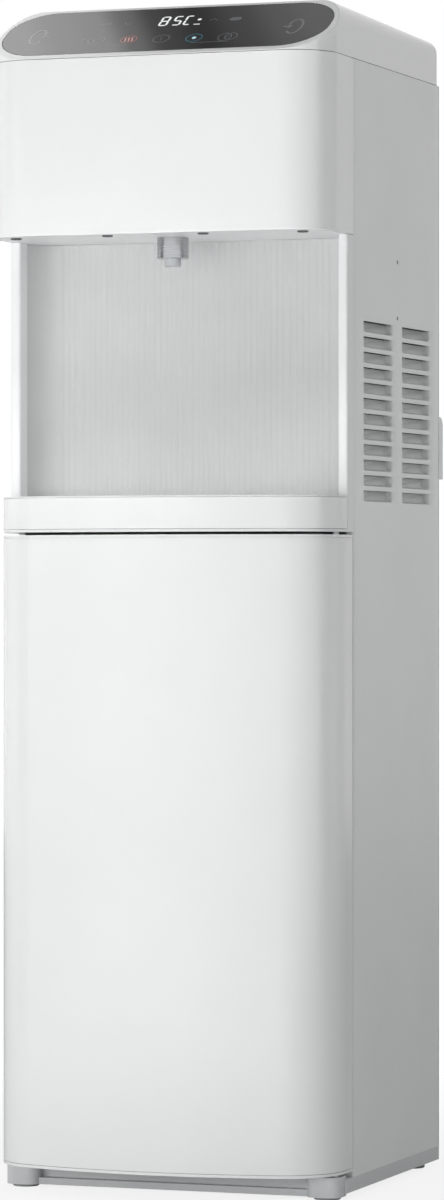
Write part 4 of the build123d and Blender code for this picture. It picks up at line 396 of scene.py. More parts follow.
louvred, given = new_recipe(
    "louvred_side_sheet", Louvre="Object", Column_pitch="Float", Row_pitch="Float", Rows="Int",
    Middle="Vector", Finish="Material",
)
gaps = add_node(louvred, "ShaderNodeMath", {0: given["Rows"], 1: 1.0}, operation="SUBTRACT")
span = add_node(louvred, "ShaderNodeMath", {0: gaps, 1: given["Row pitch"]}, operation="MULTIPLY")
lattice = add_node(
    louvred,
    "GeometryNodeMeshGrid",
    {"Size X": given["Column pitch"], "Size Y": span, "Vertices X": 2, "Vertices Y": given["Rows"]},
)
upright = add_node(
    louvred,
    "GeometryNodeTransform",
    {"Geometry": lattice, "Translation": given["Middle"], "Rotation": (pi / 2, 0.0, pi / 2)},
)
cell = add_node(
    louvred, "GeometryNodeObjectInfo", {"Object": given["Louvre"], "As Instance": True}
)
pressed = add_node(
    louvred,
    "GeometryNodeInstanceOnPoints",
    {"Points": upright, "Instance": cell.outputs["Geometry"]},
)
joined = add_node(louvred, "GeometryNodeJoinGeometry", {"Geometry": given["Geometry"]})
feed(louvred, joined, {"Geometry": pressed})
whole = add_node(louvred, "GeometryNodeRealizeInstances", {"Geometry": joined})
welded = add_node(louvred, "GeometryNodeMergeByDistance", {"Geometry": whole, "Distance": WELD})
end_recipe(louvred, welded, given["Finish"])

for side, node in ((1, "side_panel_right"), (-1, "side_panel_left")):
    low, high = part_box(node)
    cell = add_object("louvre_cell", louvre_cell(side))
    face_x = high[0] if side > 0 else low[0]
    mesh = follow(
        louvred, node + "_sheet", folded_sheet(side, low, high), wall=SHEET, Louvre=cell,
        Column_pitch=COLUMN_PITCH, Row_pitch=ROW_PITCH, Rows=LOUVRE_ROWS,
        Middle=(face_x, (low[1] + high[1] + SHEET) / 2, LOUVRE_MID_Z), Finish=powder_coat,
    )
    bpy.data.objects.remove(cell)
    put(node + "_sheet", mesh, "casing", node, edge=SHEET_EDGE)


# Back: a plain sheet of hot-dip galvanised steel with fan slots, held by screws; it carries the
# moulded grip, the two switches, the drain and the cord's gland. Inner shelves and the tank's
# strap are the same sheet. Each zinc crystal has its own tone and gloss, so the face is patchy.
SPANGLE_MM = 11.0
PICKLED_MM = 1.5
galvanised, tree, shader, place = new_finish("steel_galvanised_spangle", Metallic=1.0)
crystal = add_node(
    tree, "ShaderNodeTexVoronoi", {"Vector": place, "Scale": 1 / (SPANGLE_MM * MM)}
)
tone = add_node(tree, "ShaderNodeSeparateColor", {"Color": crystal.outputs["Color"]})
pickled = add_node(
    tree, "ShaderNodeTexNoise", {"Vector": place, "Scale": noise_scale(PICKLED_MM), "Detail": 2.0}
)
vary(
    tree, shader, tones=(tone, "#b0b4b6", "#c6cacc"), gloss=(tone, 0.28, 0.46, 0.0, 1.0),
    relief=(pickled, 0.004),
)
dress(galvanised, "rear_panel", "mid_shelf", "upper_shelf", "tank_strap")


# Fasteners: pan-head screws with a cross recess hold the back, dished blind rivets hold the
# shelf and strap to the side sheets, and washer-head screws hold the outlet deck.
CROWN_FLAT = 0.72             # share of the head's radius that its crown leaves flat
RIM_H = 0.25                  # share of the head's height that its rim stands upright
CROWN_STEPS = 8
# The cross recess at its foot and its mouth: an arm's length and width as shares of the head's
# radius, and the height as a share of the head's
RECESS_FOOT = (0.45, 0.16, 0.3)
RECESS_MOUTH = (1.15, 0.26, 1.3)
ROUND_STEPS = 40
SAME_SPOT = 0.001 * MM

# Zinc plate, clear passivated: bright, with a slight haze that differs from screw to screw and
# is drawn at 0.8 mm, coarser than the real one, so that it shows on a small head
zinc_plated = finish(
    "screws_zinc_plated",
    {"plate": (3.0, 2.0), "haze": (0.8, 2.0)},
    tones=("plate", "#b4b6b8", "#cfd1d2"),
    gloss=("haze", 0.22, 0.36),
    Metallic=1.0,
)
dress(zinc_plated, "hinge_pins")
# Blackened steel, oiled: a dark grey metal with a dull, uneven shine, its film drawn as coarse
blackened = finish(
    "screws_steel_blackened",
    {"scale": (2.0, 2.0), "oil": (0.8, 2.0)},
    tones=("scale", "#6a6c6e", "#808284"),
    gloss=("oil", 0.35, 0.5),
    Metallic=1.0,
)


def turned(name, profile, steps=ROUND_STEPS):
    """A closed turned piece: radii and heights from its lower middle to its upper middle."""
    shape = bmesh.new()
    rings = []
    for r, z in profile:
        ring = bend((0, 0), (r, r), 0, 360, steps)[:-1] if r else [(0, 0)]
        rings.append([shape.verts.new((*spot, z)) for spot in ring])
    for under, over in zip(rings, rings[1:]):
        for i in range(steps):
            corners = [under[i % len(under)], under[(i + 1) % len(under)],
                       over[(i + 1) % len(over)], over[i % len(over)]]
            shape.faces.new(list(dict.fromkeys(corners)))
    bmesh.ops.recalc_face_normals(shape, faces=shape.faces[:])
    return as_mesh(shape, name)


def cross_screw(name, head_r, head_h, shank_r, shank_l):
    """A screw whose head sits on z = 0, with a crowned top and a tapered cross recess in it."""
    crown = bend(
        (head_r * CROWN_FLAT, head_h * RIM_H), (head_r * (1 - CROWN_FLAT), head_h * (1 - RIM_H)),
        0, 90, CROWN_STEPS,
    )
    shank = [(0.0, -shank_l), (shank_r, -shank_l), (shank_r, 0.0), (head_r, 0.0)]
    blank = add_object(name, turned(name, shank + crown[1:] + [(0.0, head_h)]))
    cutter = bmesh.new()
    for turn in (0, 1):
        for v in bmesh.ops.create_cube(cutter, size=1.0)["verts"]:
            length, width, height = RECESS_FOOT if v.co.z < 0 else RECESS_MOUTH
            along, across = v.co.x * length * head_r, v.co.y * width * head_r
            v.co = (*((-across, along) if turn else (along, across)), head_h * height)
    cross = add_object(name + "_cross", as_mesh(cutter, name + "_cross"))
    cut = blank.modifiers.new("cross", "BOOLEAN")
    cut.object = cross
    cut.operation = "DIFFERENCE"
    cut.solver = "EXACT"
    cut.use_self = True
    made = evaluated(blank)
    bpy.data.objects.remove(blank)
    bpy.data.objects.remove(cross)
    return made


def solids(node):
    """Lowest and highest corners of each loose solid in a CAD node, from a merged copy."""
    shape = bmesh.new()
    shape.from_mesh(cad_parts[node].data)
    bmesh.ops.remove_doubles(shape, verts=shape.verts[:], dist=SAME_SPOT)
    left, found = set(shape.verts), []
    while left:
        group, edge = set(), [left.pop()]
        while edge:
            vert = edge.pop()
            group.add(vert)
            for link in vert.link_edges:
                other = link.other_vert(vert)
                if other in left:
                    left.discard(other)
                    edge.append(other)
        spots = [v.co.copy() for v in group]
        found.append([Vector(pick(v[k] for v in spots) for k in range(3)) for pick in (min, max)])
    shape.free()
    return sorted(found, key=lambda box: tuple(box[0]))


fastened, given = new_recipe(
    "fasteners_on_points", Fastener="Object", Facing="Vector", Seed="Int", Finish="Material"
)
aimed = add_node(
    fastened, "FunctionNodeAlignRotationToVector", {"Vector": given["Facing"]}, axis="Z"
)
turn = add_node(
    fastened, "FunctionNodeRandomValue", {3: 2 * pi, "Seed": given["Seed"]}, data_type="FLOAT"
)
spun = add_node(
    fastened, "FunctionNodeAxisAngleToRotation", {"Axis": (0.0, 0.0, 1.0), "Angle": turn.outputs[1]}
)
driven = add_node(
    fastened, "FunctionNodeRotateRotation", {"Rotation": aimed, "Rotate By": spun},
    rotation_space="LOCAL",
)
sample = add_node(
    fastened, "GeometryNodeObjectInfo", {"Object": given["Fastener"], "As Instance": True}
)
driven_in = add_node(
    fastened,
    "GeometryNodeInstanceOnPoints",
    {"Points": given["Geometry"], "Instance": sample.outputs["Geometry"], "Rotation": driven},
)
end_recipe(fastened, driven_in, given["Finish"])


def fasten(name, spots, fastener, facing, seed, material):
    """Sets one kind of fastener in each place, each turned as the driver left it."""
    points = bpy.data.meshes.new(name + "_places")
    points.from_pydata(spots, [], [])
    kind = add_object(name + "_kind", fastener)
    mesh = follow(
        fastened, name, points, Fastener=kind, Facing=facing, Seed=seed, Finish=material
    )
    bpy.data.objects.remove(kind)
    return mesh


SHANK_R = 1.5 * MM
BACK_HEAD_R = 3.5 * MM
BACK_HEAD_H = 1.8 * MM
BACK_SHANK_L = 6.0 * MM
spots = [((low.x + high.x) / 2, high.y - BACK_HEAD_H, (low.z + high.z) / 2)
         for low, high in solids("rear_screws")]
screw = cross_screw("back_screw", BACK_HEAD_R, BACK_HEAD_H, SHANK_R, BACK_SHANK_L)
mesh = fasten("back_screws_cross", spots, screw, (0.0, 1.0, 0.0), seed=3, material=zinc_plated)
put("back_screws_cross", mesh, "steel", "rear_screws")

# Radii and heights of a rivet in mm, from its tail over the rolled rim into the dish
DISH = [(0.0, -1.0), (1.8, -1.0), (1.8, -0.05), (1.75, 0.0), (1.45, 0.0), (1.1, -0.25),
        (0.6, -0.4), (0.55, -0.7), (0.0, -0.7)]
DISH_STEPS = 28
both = bmesh.new()
for side in (-1, 1):
    spots = [(side * max(abs(low.x), abs(high.x)), (low.y + high.y) / 2, (low.z + high.z) / 2)
             for low, high in solids("panel_rivets") if low.x * side > 0]
    dish = turned("rivet_dished", [(r * MM, z * MM) for r, z in DISH], DISH_STEPS)
    both.from_mesh(fasten("rivets", spots, dish, (side, 0.0, 0.0), seed=5, material=blackened))
mesh = as_mesh(both, "rivets_dished")
mesh.materials.append(blackened)
put("rivets_dished", mesh, "steel", "panel_rivets")

DECK_HEAD_R = 5.0 * MM
DECK_HEAD_H = 1.5 * MM
DECK_SHANK_L = 3.4 * MM
deck_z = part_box("outlet_deck")[0][2]
spots = [((low.x + high.x) / 2, (low.y + high.y) / 2, deck_z)
         for low, high in solids("deck_screws")]
screw = cross_screw("deck_screw", DECK_HEAD_R, DECK_HEAD_H, SHANK_R, DECK_SHANK_L)
mesh = fasten(
    "deck_screws_washer_head", spots, screw, (0.0, 0.0, -1.0), seed=8, material=blackened
)
put("deck_screws_washer_head", mesh, "steel", "deck_screws")


# Front frame, outlet deck, tray grille and rear grip: ABS from an eroded mould, satin white,
# clipped to the side sheets. The grain breaks up reflections, so they look softer than the head.
satin_abs = moulded("abs_satin_white", "#ecedee", "#f1f2f2", 0.34, 0.9, 0.012)
dress(satin_abs, "front_frame", "outlet_deck", "drip_grille", "rear_handle")


# Niche wall: one ABS moulding, coloured greyer than the frame as painted shade of the recess,
# with an elliptical cheek to each side and fine upright flutes between them. They are too
# shallow to cast a shadow and only draw soft lines, as in the photograph.
CHEEK_W = 21.0 * MM
CHEEK_DEEP = 29.0 * MM
CHEEK_TURNS = 32
WALL_T = 2.0 * MM
RIM_ROOM = 2.0 * MM
FLUTE_PITCH = 6.15 * MM
FLUTE_DEEP = 0.4 * MM
FLUTE_STEP = 0.35 * MM
FLANK = 0.55                  # half the height of the wave that a flute's flanks take up
RUN_OUT = 1.0 * MM
WALL_EDGE = 50.0
low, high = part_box("niche_liner")
flat_x = high[0] - RIM_ROOM - CHEEK_W
cheek = bend((-flat_x, low[1]), (CHEEK_W, CHEEK_DEEP), 180, 90, CHEEK_TURNS)
plan = [(-x, y, low[2]) for x, y in cheek] + [(x, y, low[2]) for x, y in reversed(cheek)]
plan_line = bpy.data.meshes.new("niche_plan")
plan_line.from_pydata(plan, [(i, i + 1) for i in range(len(plan) - 1)], [])
# A shallower grain than the frame's: an even satin that shows the flutes and no reflections
# Its grey tones are painted shade: they darken the whole wall as the recess would
warm_grey_abs = moulded("abs_niche_light_grey", "#c8c9c9", "#cecfcf", 0.38, 0.9, 0.010)

fluted, given = new_recipe(
    "fluted_wall", Height="Float", Flute_pitch="Float", Flute_depth="Float",
    Flat_half_width="Float", Step="Float", Finish="Material",
)
line = add_node(fluted, "GeometryNodeMeshToCurve", {"Mesh": given["Geometry"]})
fine = add_node(
    fluted, "GeometryNodeResampleCurve", {"Curve": line, "Length": given["Step"]}, mode="LENGTH"
)
wire = add_node(fluted, "GeometryNodeCurveToMesh", {"Curve": fine})
spot = add_node(fluted, "GeometryNodeInputPosition")
across = add_node(fluted, "ShaderNodeSeparateXYZ", {"Vector": spot}).outputs["X"]
pitches = add_node(
    fluted, "ShaderNodeMath", {0: across, 1: given["Flute pitch"]}, operation="DIVIDE"
)
phase = add_node(fluted, "ShaderNodeMath", {0: pitches, 1: 2 * pi}, operation="MULTIPLY")
wave = add_node(fluted, "ShaderNodeMath", {0: phase}, operation="COSINE")
land = add_node(
    fluted, "ShaderNodeMapRange", {"Value": wave, "From Min": -FLANK, "From Max": FLANK},
    interpolation_type="SMOOTHSTEP",
)
reach = add_node(fluted, "ShaderNodeMath", {0: across}, operation="ABSOLUTE")
spare = add_node(
    fluted, "ShaderNodeMath", {0: given["Flat half width"], 1: reach}, operation="SUBTRACT"
)
on_flat = add_node(
    fluted, "ShaderNodeMapRange", {"Value": spare, "From Min": 0.0, "From Max": RUN_OUT}
)
masked = add_node(fluted, "ShaderNodeMath", {0: land, 1: on_flat}, operation="MULTIPLY")
deep = add_node(
    fluted, "ShaderNodeMath", {0: masked, 1: given["Flute depth"]}, operation="MULTIPLY"
)
sunk = add_node(fluted, "ShaderNodeCombineXYZ", {"Y": deep})
cut = add_node(fluted, "GeometryNodeSetPosition", {"Geometry": wire, "Offset": sunk})
rise = add_node(fluted, "ShaderNodeCombineXYZ", {"Z": given["Height"]})
drawn = add_node(
    fluted, "GeometryNodeExtrudeMesh", {"Mesh": cut, "Offset": rise, "Offset Scale": 1.0},
    mode="EDGES",
)
end_recipe(fluted, drawn, given["Finish"])
mesh = follow(
    fluted, "niche_wall_fluted", plan_line, wall=WALL_T, Height=high[2] - low[2],
    Flute_pitch=FLUTE_PITCH, Flute_depth=FLUTE_DEEP, Flat_half_width=flat_x, Step=FLUTE_STEP,
    Finish=warm_grey_abs,
)
put("niche_wall_fluted", mesh, "trim", "niche_liner", edge=WALL_EDGE)


# Head, lid, tray band and door: thick ABS from a polished mould, glossy white. The wide faces
# have the slight waviness of moulding sink, which bends long reflections a little.
gloss_abs = finish(
    "abs_gloss_white",
    {"sink": (60.0, 1.0), "haze": (6.0, 4.0)},
    tones=("sink", "#f3f4f4", "#f5f6f6", *MIDDLE),
    gloss=("haze", 0.13, 0.20),
    relief=("sink", 0.03),
    IOR=1.54,
)
dress(gloss_abs, "head_shell", "top_cover", "drip_tray", "door_shell", "door_end_caps")


# Outlet: a stainless sleeve around a frosted polycarbonate spout, and a small clear lens over
# the lamp in front of it. All three are pressed into the deck.
# Rings round an upright axis, 0.2 mm high; real ones are finer and wouldn't show
LATHE = (12.0, 3.0, (1.0, 1.0, 60.0))

# Stainless steel, turned and brushed: its rings draw each highlight out into a satin band
satin_steel = finish(
    "stainless_turned_satin",
    {"lathe": LATHE},
    tones=("lathe", "#b4b6b8", "#c8cacc"),
    gloss=("lathe", 0.20, 0.30),
    relief=("lathe", 0.004),
    Metallic=1.0,
    Anisotropic=0.5,
)
dress(satin_steel, "nozzle_sleeve")

# Frosted polycarbonate: light goes in and comes out milky, with a soft highlight
frosted = finish(
    "polycarbonate_frosted",
    {"milk": (4.0, 2.0), "etch": (1.5, 2.0)},
    tones=("milk", "#d5dadc", "#e4e8ea"),
    gloss=("etch", 0.32, 0.45),
    IOR=1.585,
    Transmission_Weight=0.35,
)
dress(frosted, "nozzle_tip")

# Clear polycarbonate: see-through, with the sharp highlight of a polished mould
clear = finish(
    "polycarbonate_clear",
    {"tint": (4.0, 2.0), "polish": (1.5, 2.0)},
    tones=("tint", "#e6ebee", "#f2f5f6"),
    gloss=("polish", 0.05, 0.14),
    IOR=1.585,
    Transmission_Weight=0.9,
)
dress(clear, "nozzle_lamp")


# Touch panel: a sheet of toughened glass printed black on its back, set flush in the slope. The
# polished face mirrors the studio, and finger smears spread that mirror image a little.
GLASS_IOR = 1.52
SMEAR = (30.0, 4.0)
panel_glass = finish(
    "glass_toughened_black_printed",
    {"smear": SMEAR},
    tones=("smear", "#0b0b0d", "#101013"),
    gloss=("smear", 0.03, 0.07),
    IOR=GLASS_IOR,
)
dress(panel_glass, "touch_glass")


# Legend on the glass: key rings, arrows and cup signs screen-printed in grey, and figures and
# two key signs that shine through it. Each line follows its path at one width, flat on the
# slope. Places are in mm from the middle of the glass, to the right and up the slope.
GLASS_HALF_T = 1.1 * MM
GLASS_TILT = radians(32.0)
INK_T = 0.12 * MM
ARC_STEPS = 28
DIODE_MM = 3.0
DIMMEST = 0.88                # share of a sign's strength left between its diodes
RING_R = 7.4
FINE_LINE = 0.95
CUP_LINE = 2.1
WAVE_LINE = 1.0
WAVE_STEPS = 8
HOT_RING_LINE = 0.8
COLD_RING_LINE = 0.9
FIGURE_FOOT, FIGURE_TOP = 7.0, 26.0
BAR_W = 1.9
BAR_GAP = 0.15
SIGNS = {"cup": (-61.0, -18.0), "hot": (-30.0, -18.3), "one": (1.1, -19.5),
         "cold": (32.2, -20.3), "mix": (63.3, -21.1)}
low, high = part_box("touch_glass")
glass_up = Vector((0.0, -sin(GLASS_TILT), cos(GLASS_TILT)))
glass_at = (Vector(low) + Vector(high)) / 2 + glass_up * GLASS_HALF_T

# Printing ink: as glossy as the glass over it, only paler
ink = finish(
    "ink_printed_grey",
    {"smear": SMEAR},
    tones=("smear", "#66686b", "#707376"),
    gloss=("smear", 0.04, 0.09),
    IOR=GLASS_IOR,
)


def lit_sign(name, colour, strength):
    """A sign lit by a diode from behind: brightest over it, and never quite even."""
    material, tree, shader, place = new_finish(
        name, IOR=GLASS_IOR, Roughness=0.08, Base_Color="#0c0c0e", Emission_Color=colour
    )
    spread = add_node(
        tree, "ShaderNodeTexNoise",
        {"Vector": place, "Scale": noise_scale(DIODE_MM), "Detail": 2.0},
    )
    uneven = add_node(
        tree,
        "ShaderNodeMapRange",
        {"Value": spread, "From Min": MIDDLE[0], "From Max": MIDDLE[1],
         "To Min": strength * DIMMEST, "To Max": strength},
    )
    feed(tree, shader, {"Emission Strength": uneven})
    return material


def arc(u, v, half_w, half_h, first=0.0, last=360.0):
    """Points along an ellipse or a part of it, in degrees from its right side."""
    points = bend((u, v), (half_w, half_h), first, last, ARC_STEPS)
    return points[:-1] + points[:1] if last - first >= 360.0 else points


def figure(u0, u1, shown):
    """Six-sided bars of a seven-bar figure, lettered from the top clockwise, g in the middle."""
    h, gap, mid = BAR_W / 2, BAR_W / 2 + BAR_GAP, (FIGURE_FOOT + FIGURE_TOP) / 2
    left, right, foot, top = u0 + h, u1 - h, FIGURE_FOOT + h, FIGURE_TOP - h
    lying = {"a": top, "g": mid, "d": foot}
    standing = {"b": (right, mid, top), "c": (right, foot, mid), "e": (left, foot, mid),
                "f": (left, mid, top)}
    bars = []
    for bar in shown:
        if bar in lying:
            v, a, b = lying[bar], left + gap - h, right - gap + h
            bars.append([(a, v), (a + h, v - h), (b - h, v - h),
                         (b, v), (b - h, v + h), (a + h, v + h)])
        else:
            u, a, b = standing[bar]
            a, b = a + gap - h, b - gap + h
            bars.append([(u, a), (u + h, a + h), (u + h, b - h),
                         (u, b), (u - h, b - h), (u - h, a + h)])
    return bars


def plates(outlines):
    """Thin closed plates with the given outlines in millimetres, half above z = 0."""
    shape = bmesh.new()
    for outline in outlines:
        over, under = ([shape.verts.new((u * MM, v * MM, z)) for u, v in outline]
                       for z in (INK_T / 2, -INK_T / 2))
        shape.faces.new(over)
        shape.faces.new(under[::-1])
        for i in range(len(over)):
            j = (i + 1) % len(over)
            shape.faces.new((over[j], over[i], under[i], under[j]))
    return as_mesh(shape, "legend_plates")


printed, given = new_recipe(
    "printed_lines", Plates="Object", Line_width="Float", Thickness="Float", Tilt="Vector",
    Place="Vector", Finish="Material",
)
path = add_node(printed, "GeometryNodeMeshToCurve", {"Mesh": given["Geometry"]})
level = add_node(printed, "GeometryNodeSetCurveNormal", {"Curve": path}, mode="Z_UP")
nib = add_node(
    printed, "GeometryNodeCurvePrimitiveQuadrilateral",
    {"Width": given["Line width"], "Height": given["Thickness"]},
)
drawn = add_node(
    printed, "GeometryNodeCurveToMesh", {"Curve": level, "Profile Curve": nib, "Fill Caps": True}
)
filled = add_node(printed, "GeometryNodeObjectInfo", {"Object": given["Plates"]})
joined = add_node(printed, "GeometryNodeJoinGeometry", {"Geometry": drawn})
feed(printed, joined, {"Geometry": filled.outputs["Geometry"]})
laid = add_node(
    printed, "GeometryNodeTransform",
    {"Geometry": joined, "Translation": given["Place"], "Rotation": given["Tilt"]},
)
end_recipe(printed, laid, given["Finish"])


def legend(name, slot, material, lines=(), width=FINE_LINE, filled=()):
    """Prints lines of one width and filled plates on the glass, as one piece."""
    spots, edges = [], []
    for line in lines:
        first = len(spots)
        closed = line[0] == line[-1]
        points = line[:-1] if closed else line
        spots += [(u * MM, v * MM, 0.0) for u, v in points]
        edges += [(first + i, first + i + 1) for i in range(len(points) - 1)]
        if closed:
            edges.append((len(spots) - 1, first))
    start = bpy.data.meshes.new(name + "_paths")
    start.from_pydata(spots, edges, [])
    holder = add_object(name + "_plates", plates(filled))
    mesh = follow(
        printed, name, start, Plates=holder, Line_width=width * MM, Thickness=INK_T,
        Tilt=(GLASS_TILT, 0.0, 0.0), Place=tuple(glass_at), Finish=material,
    )
    bpy.data.objects.remove(holder)
    put(name, mesh, slot)


# The three keys that are only printed: their rings, then the marks in them, the lines that tie
# two keys below, the arrows above and the small strokes and pill beside those
rings = [arc(*SIGNS[key], RING_R, RING_R) for key in ("cup", "one")]
u, v = SIGNS["mix"]
rings += [arc(u - 2.2, v, 6.0, RING_R), arc(u + 3.4, v + 0.8, 5.6, 6.8)]
u, v = SIGNS["cup"]
marks = [[(u - 3, v + 2.6), (u - 2, v - 3), (u + 2, v - 3), (u + 3, v + 2.6)]]
marks += [[(u - 15, v + rise), (u - 11, v + rise)] for rise in (-3, 0, 3)]
u, v = SIGNS["one"]
marks += [[(u - 1.6, v + 1.6), (u, v + 3.4), (u, v - 3.6)]]
u, v = SIGNS["mix"]
marks += [[(u - 1.5, v - 3.2), (u + 1.5, v + 3.4)]]
marks += [[(-62.0, -30.0), (-28.0, -30.0)], [(31.5, -30.0), (67.0, -30.0)]]
marks += [[(-44.6, 16.0), (-41.0, 12.6), (-37.4, 16.0)], [(36.4, 14.2), (40.0, 17.6), (43.6, 14.2)]]
marks += [[(u, 13.9), (u, 17.5), (u + 2.0, 17.5), (u + 2.0, 13.9)] for u in (-67.0, -63.6, -60.2)]
pill = arc(62.7, 15.5, 3.2, 3.4, -90.0, 90.0) + arc(57.9, 15.5, 3.2, 3.4, 90.0, 270.0)
legend("legend_printed_fine", "glass", ink, rings + marks, FINE_LINE, [pill])

# One cup at each end, mirrored: an open oval and the arrow that closes it
CUP = [arc(0.0, 0.0, 6.6, 14.0, 18.0, 322.0), [(11.0, 0.6), (3.6, 0.6)],
       [(6.4, 3.8), (3.2, 0.6), (6.4, -2.6)]]
cups = [[(u - side * x, v + y) for x, y in line]
        for side, u, v in ((-1, -120.8, -6.0), (1, 121.8, -5.4)) for line in CUP]
legend("legend_printed_cups", "glass", ink, cups, CUP_LINE)

# The display: two figures and the sign of the unit, with a dot and a short bar beside them
digits = figure(-11.2, -2.6, "abcdefg") + figure(1.2, 9.6, "afgcd") + figure(12.0, 19.6, "afed")
digits += [arc(25.8, 17.4, 1.9, 1.9)[:-1], [(23.0, 7.0), (28.8, 7.0), (28.8, 8.4), (23.0, 8.4)]]
digits_white = lit_sign("digits_lit_white", "#f4f6f6", 0.97)
legend("display_digits", "lens", digits_white, filled=digits)

# The two lit keys: three waves of warmth in a red ring, and a drop in a blue one
u, v = SIGNS["hot"]
waves = [[(u + dx + sin(k * pi / 4) * 0.7, v - 4.2 + k * 1.05) for k in range(WAVE_STEPS + 1)]
         for dx in (-3.2, 0.0, 3.2)]
legend("sign_hot", "lens", lit_sign("sign_lit_red", "#d98a84", 0.9), waves, WAVE_LINE)
dim_red = lit_sign("sign_lit_red_dim", "#9c4a48", 0.75)
legend("sign_hot_ring", "lens", dim_red, [arc(u, v, RING_R, RING_R)], HOT_RING_LINE)
u, v = SIGNS["cold"]
dim_blue = lit_sign("sign_lit_blue_dim", "#2f6f86", 0.75)
legend("sign_cold_ring", "lens", dim_blue, [arc(u, v, RING_R, RING_R)], COLD_RING_LINE)
blue = lit_sign("sign_lit_blue", "#bfe6ef", 0.9)
legend("sign_cold", "lens", blue, filled=[arc(u, v, 1.9, 2.3)[:-1]])


# Linings: the compartment for the bottle and the back of the door are thin ABS trays, moulded
# against an eroded steel half, so their wide faces have an even satin and no reflections.
liner_abs = moulded("abs_liner_satin", "#e6e7e8", "#ecedee", 0.42, 1.1, 0.015)
dress(liner_abs, "door_liner", "compartment_liner")


# Tanks and pipes: stainless sheet and tube, welded and left bright. The rolled grain runs round
# them and draws each highlight out into a band.
stainless = finish(
    "stainless_drawn_bright",
    {"lathe": LATHE},
    tones=("lathe", "#b9bbbd", "#d4d6d8"),
    gloss=("lathe", 0.18, 0.30),
    relief=("lathe", 0.004),
    Metallic=1.0,
)
dress(stainless, "cold_tank", "hot_tank", "tank_pipes", "level_stem")


# Tank insulation: a tub and a lid steamed from polystyrene beads in a mould. The beads show as
# soft round bumps under a chalky, quite matt skin.
BEAD_MM = 3.5
BEAD_EDGE = 0.7
foam, tree, shader, place = new_finish("polystyrene_beads_steamed", IOR=1.55)
bead = add_node(tree, "ShaderNodeTexVoronoi", {"Vector": place, "Scale": 1 / (BEAD_MM * MM)})
crown = add_node(
    tree, "ShaderNodeMapRange",
    {"Value": bead, "From Min": 0.0, "From Max": BEAD_EDGE, "To Min": 1.0, "To Max": 0.0},
)
# Each bead is paler at its crown and darker towards its edge, where the bumps dip: painted shade
# between the beads
vary(
    tree, shader, tones=(crown, "#dcd9d0", "#f0ede6"), gloss=(crown, 0.92, 0.78, 0.0, 1.0),
    relief=(crown, 0.25),
)
dress(foam, "tank_insulation")


# Hoses: food-grade silicone, extruded milky and pushed on ribbed ends. Light goes a little way
# in, which takes the hardness off their shading.
milky = finish(
    "silicone_milky",
    {"milk": (8.0, 2.0), "bloom": (2.0, 2.0)},
    tones=("milk", "#dfe4e4", "#eef1f1"),
    gloss=("bloom", 0.38, 0.5),
    IOR=1.41,
    Subsurface_Weight=0.3,
)
dress(milky, "suction_hose", "delivery_hose", "outlet_hoses")


# Bought-in parts: fan, pump, valves, thermostats, switch plate and cord gland, all moulded in
# black glass-filled nylon, whose fibres leave it dull and slightly rough.
black_nylon = moulded("nylon_black_filled", "#151515", "#1f1f1f", 0.45, 0.8, 0.02, 1.53)
dress(black_nylon, "fan_housing", "fan_rotor", "thermostats", "water_pump", "outlet_valves",
      "switch_plate", "cord_gland")

# Ferrite in a rubber strip: dead black, a little dusty
ferrite = moulded("magnet_ferrite_rubber", "#1c1c1c", "#292827", 0.75, 0.6, 0.03)
dress(ferrite, "door_magnets")


# Circuit boards: glass-epoxy laminate under green solder mask, screwed to their posts. The
# copper below the mask shows as paler tracks, and the mask keeps one even gloss over both.
TRACK_MM = 4.0
TRACK_EDGE = (0.42, 0.46)
MASK_MM = 6.0
board_green, tree, shader, place = new_finish("laminate_green_masked", IOR=1.55)
tracks = add_node(
    tree, "ShaderNodeTexVoronoi", {"Vector": place, "Scale": 1 / (TRACK_MM * MM)},
    distance="CHEBYCHEV", feature="F1",
)
copper = add_node(
    tree, "ShaderNodeMapRange",
    {"Value": tracks, "From Min": TRACK_EDGE[0], "From Max": TRACK_EDGE[1]},
)
mask = add_node(
    tree, "ShaderNodeTexNoise", {"Vector": place, "Scale": noise_scale(MASK_MM), "Detail": 2.0}
)
vary(
    tree, shader, tones=(copper, "#1a5530", "#2a7346"), gloss=(mask, 0.24, 0.34),
    relief=(copper, 0.03),
)
dress(board_green, "display_board", "power_board")


# Cooling stack: an extruded aluminium sink and a milled block clamp a ceramic module; the hot
# tank's heater is a band of the same aluminium. Drawn lines spread its shine to one side.
aluminium = finish(
    "aluminium_extruded",
    {"drawn": (1.5, 2.0, (1.0, 1.0, 0.04))},
    tones=("drawn", "#c5c8ca", "#d9dbdd"),
    gloss=("drawn", 0.3, 0.42),
    Metallic=1.0,
)
dress(aluminium, "heat_sink", "cooling_block", "band_heater")

# Alumina, fired and ground: white, dense and nearly matt
ceramic = moulded("alumina_ground", "#e6e4df", "#efede8", 0.4, 0.5, 0.01, 1.76)
dress(ceramic, "cooling_module")


# Water fittings: probe, holder, inlet, manifold, float and drain, moulded in polypropylene with
# no pigment, so they are milky and soft at their edges.
natural = finish(
    "polypropylene_natural",
    {"milk": (10.0, 2.0), "grain": (1.0, 2.0)},
    tones=("milk", "#e0e1de", "#ecedeb"),
    gloss=("grain", 0.34, 0.46),
    IOR=1.49,
    Subsurface_Weight=0.2,
)
dress(natural, "drain_fitting", "drain_cap", "probe_inlet", "bottle_probe", "probe_holder",
      "outlet_manifold", "level_float")


# Rocker switches: coloured polycarbonate from a polished mould, red for hot and green for cold,
# glossy enough to catch a line of light along each rocker's edge.
rocker_red = moulded("polycarbonate_red", "#b01a14", "#bd211a", 0.22, 0.8, 0.008, 1.585)
dress(rocker_red, "hot_switch")
rocker_green = moulded("polycarbonate_green", "#147a33", "#1b8a3c", 0.22, 0.8, 0.008, 1.585)
dress(rocker_green, "cold_switch")


